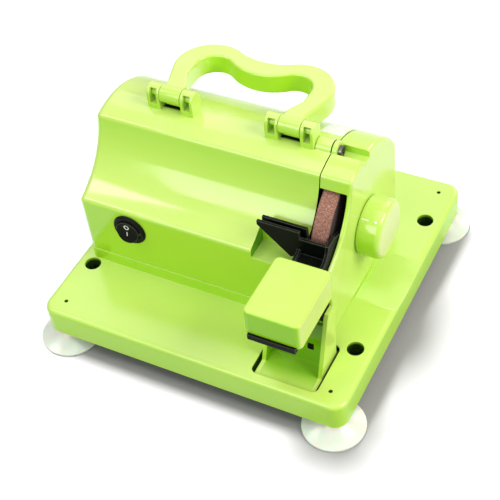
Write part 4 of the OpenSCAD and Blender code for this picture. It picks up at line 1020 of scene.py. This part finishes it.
def makeGritTree(shape):
    tree, inner, outer = newGroup(
        "Geometry",
        "rimGrit",
        [
            ("Geometry", "Geometry"),
            ("Density", "Float"),
            ("Grain Size", "Float"),
            ("Gap", "Float"),
            ("Seed", "Int"),
            ("Material", "Material"),
        ],
        [("Geometry", "Geometry")],
    )
    given = inner.outputs
    scatter = addNode(tree, "GeometryNodeDistributePointsOnFaces", distribute_method="POISSON")
    grain = setInputs(addNode(tree, "GeometryNodeMeshIcoSphere"), Subdivisions=shape["subdivisions"])
    place = addNode(tree, "GeometryNodeInstanceOnPoints")
    turn = addNode(tree, "FunctionNodeRandomValue", data_type="FLOAT_VECTOR")
    turn.inputs[1].default_value = (math.tau, math.tau, math.tau)
    scale = addNode(tree, "FunctionNodeRandomValue", data_type="FLOAT_VECTOR")
    scale.inputs[0].default_value = shape["leastScale"]
    scale.inputs[1].default_value = shape["mostScale"]
    real = addNode(tree, "GeometryNodeRealizeInstances")
    paint = addNode(tree, "GeometryNodeSetMaterial")
    link = tree.links.new
    link(given["Geometry"], scatter.inputs["Mesh"])
    link(given["Density"], scatter.inputs["Density Max"])
    link(given["Gap"], scatter.inputs["Distance Min"])
    link(given["Grain Size"], grain.inputs["Radius"])
    for node in (scatter, turn, scale):
        link(given["Seed"], node.inputs["Seed"])
    link(scatter.outputs["Points"], place.inputs["Points"])
    link(grain.outputs["Mesh"], place.inputs["Instance"])
    link(turn.outputs[0], place.inputs["Rotation"])
    link(scale.outputs[0], place.inputs["Scale"])
    link(place.outputs["Instances"], real.inputs["Geometry"])
    link(real.outputs["Geometry"], paint.inputs["Geometry"])
    link(given["Material"], paint.inputs["Material"])
    link(paint.outputs["Geometry"], outer.inputs["Geometry"])
    return tree


def rimBand(node, shape):
    low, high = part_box(node)
    centreY, centreZ = (low.y + high.y) / 2, (low.z + high.z) / 2
    radius = (high.z - low.z) / 2 - shape["sunk"]
    around = shape["around"]
    points = [
        (x, centreY + radius * math.cos(t), centreZ + radius * math.sin(t))
        for x in (low.x + shape["edge"], high.x - shape["edge"])
        for t in ringAngles(around)
    ]
    nextTo = [(i + 1) % around for i in range(around)]
    faces = [(i, j, around + j, around + i) for i, j in enumerate(nextTo)]
    mesh = bpy.data.meshes.new("rimBand")
    mesh.from_pydata(points, [], faces)
    return mesh


def growGrit(values, shape):
    tree = makeGritTree(shape)
    carrier = bpy.data.objects.new("gritCarrier", rimBand("grinding_wheel", shape))
    scene.collection.objects.link(carrier)
    grow = carrier.modifiers.new("grow", "NODES")
    grow.node_group = tree
    for label, value in values.items():
        grow[socketId(tree, label)] = value
    done = carrier.evaluated_get(bpy.context.evaluated_depsgraph_get())
    mesh = bpy.data.meshes.new_from_object(done)
    mesh.name = "wheel_grit"
    bpy.data.objects.remove(carrier)
    grit = bpy.data.objects.new("wheel_grit", mesh)
    scene.collection.objects.link(grit)
    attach(grit, "spindle")
    return len(mesh.polygons)


print("grit faces:", growGrit(wheelGrit, gritShape))


# floor, world and lamps

floorLook = {"size": 4.0, "albedo": 0.13, "seen": 0.22}
floorSun = {"from": (-0.40, 0.20, 1.0), "strength": 12.5, "spread": 16.0}  # lights the floor alone
worldLook = {"tint": (1, 1, 1, 1), "strength": 0.12, "seen": 1.0}
lamps = {
    "overheadSoftbox": {
        "place": (0.0, 0.0, 1.35),
        "aim": (0, 0, 0.05),
        "size": (0.9, 0.9),
        "watts": 4.6,
        "tint": (1.0, 0.98, 0.95),
    },
    "backSoftbox": {
        "place": (-0.58, 0.90, 1.10),
        "aim": (0, 0.02, 0.06),
        "size": (0.8, 0.65),
        "watts": 2.6,
        "tint": (1.0, 0.96, 0.92),
    },
    "rightSoftbox": {
        "place": (1.10, 0.05, 0.85),
        "aim": (0, 0, 0.06),
        "size": (0.8, 0.8),
        "watts": 17.5,
        "tint": (1.0, 0.96, 0.90),
    },
    "leftSoftbox": {
        "place": (-0.80, -0.38, 1.02),
        "aim": (0, 0, 0.06),
        "size": (0.42, 0.42),
        "watts": 4.0,
        "tint": (1.0, 1.0, 1.0),
    },
    "rearFill": {
        "place": (0.25, 1.15, 0.65),
        "aim": (0, 0, 0.06),
        "size": (0.8, 0.6),
        "watts": 6.0,
        "tint": (1.0, 0.98, 0.96),
    },
    "frontFill": {
        "place": (-0.20, -1.10, 0.75),
        "aim": (0, 0, 0.06),
        "size": (0.9, 0.6),
        "watts": 8.0,
        "tint": (0.97, 1.0, 0.98),
    },
}


def seenDirectly(tree):  # also in mirrors and through clear pieces
    path = addNode(tree, "ShaderNodeLightPath").outputs
    rays = (path["Is Camera Ray"], path["Is Glossy Ray"], path["Is Transmission Ray"])
    return calc(tree, "MAXIMUM", *rays)


def layFloor(look):
    mesh = bpy.data.meshes.new("paleFloor")
    h = look["size"] / 2
    mesh.from_pydata([(-h, -h, 0), (h, -h, 0), (h, h, 0), (-h, h, 0)], [], [(0, 1, 2, 3)])
    floor = bpy.data.objects.new("paleFloor", mesh)
    scene.collection.objects.link(floor)
    material = bpy.data.materials.new("paleFloor")
    tree = emptyTree(material)
    pick = addNode(tree, "ShaderNodeMixShader")
    out = addNode(tree, "ShaderNodeOutputMaterial")
    tree.links.new(seenDirectly(tree), pick.inputs[0])
    for i, key in ((1, "albedo"), (2, "seen")):
        grey = look[key]
        matt = setInputs(addNode(tree, "ShaderNodeBsdfDiffuse"), Color=(grey, grey, grey, 1.0))
        tree.links.new(matt.outputs[0], pick.inputs[i])
    tree.links.new(pick.outputs[0], out.inputs["Surface"])
    mesh.materials.append(material)
    return floor


def lightWorld(look):
    world = bpy.data.worlds.new("studioWorld")
    scene.world = world
    tree = emptyTree(world)
    pick = addNode(tree, "ShaderNodeMixShader")
    out = addNode(tree, "ShaderNodeOutputWorld")
    tree.links.new(seenDirectly(tree), pick.inputs[0])
    for i, key in ((1, "strength"), (2, "seen")):
        sky = setInputs(addNode(tree, "ShaderNodeBackground"), Color=look["tint"], Strength=look[key])
        tree.links.new(sky.outputs[0], pick.inputs[i])
    tree.links.new(pick.outputs[0], out.inputs["Surface"])


def hangLamp(name, look):
    data = bpy.data.lights.new(name, "AREA")
    data.shape = "RECTANGLE"
    data.size, data.size_y = look["size"]
    data.energy = look["watts"]
    data.color = look["tint"]
    lamp = bpy.data.objects.new(name, data)
    away = Vector(look["place"]) - Vector(look["aim"])
    lamp.rotation_euler = away.to_track_quat("Z", "Y").to_euler()
    lamp.location = look["place"]
    scene.collection.objects.link(lamp)


def lightFloor(look, floor):
    data = bpy.data.lights.new("floorSun", "SUN")
    data.energy = look["strength"]
    data.angle = math.radians(look["spread"])
    sun = bpy.data.objects.new("floorSun", data)
    sun.rotation_euler = Vector(look["from"]).to_track_quat("Z", "Y").to_euler()
    scene.collection.objects.link(sun)
    only = bpy.data.collections.new("floorOnly")
    only.objects.link(floor)
    sun.light_linking.receiver_collection = only


lightFloor(floorSun, layFloor(floorLook))
lightWorld(worldLook)
for name, look in lamps.items():
    hangLamp(name, look)
scene.view_settings.view_transform = "Standard"
print("studio lit")
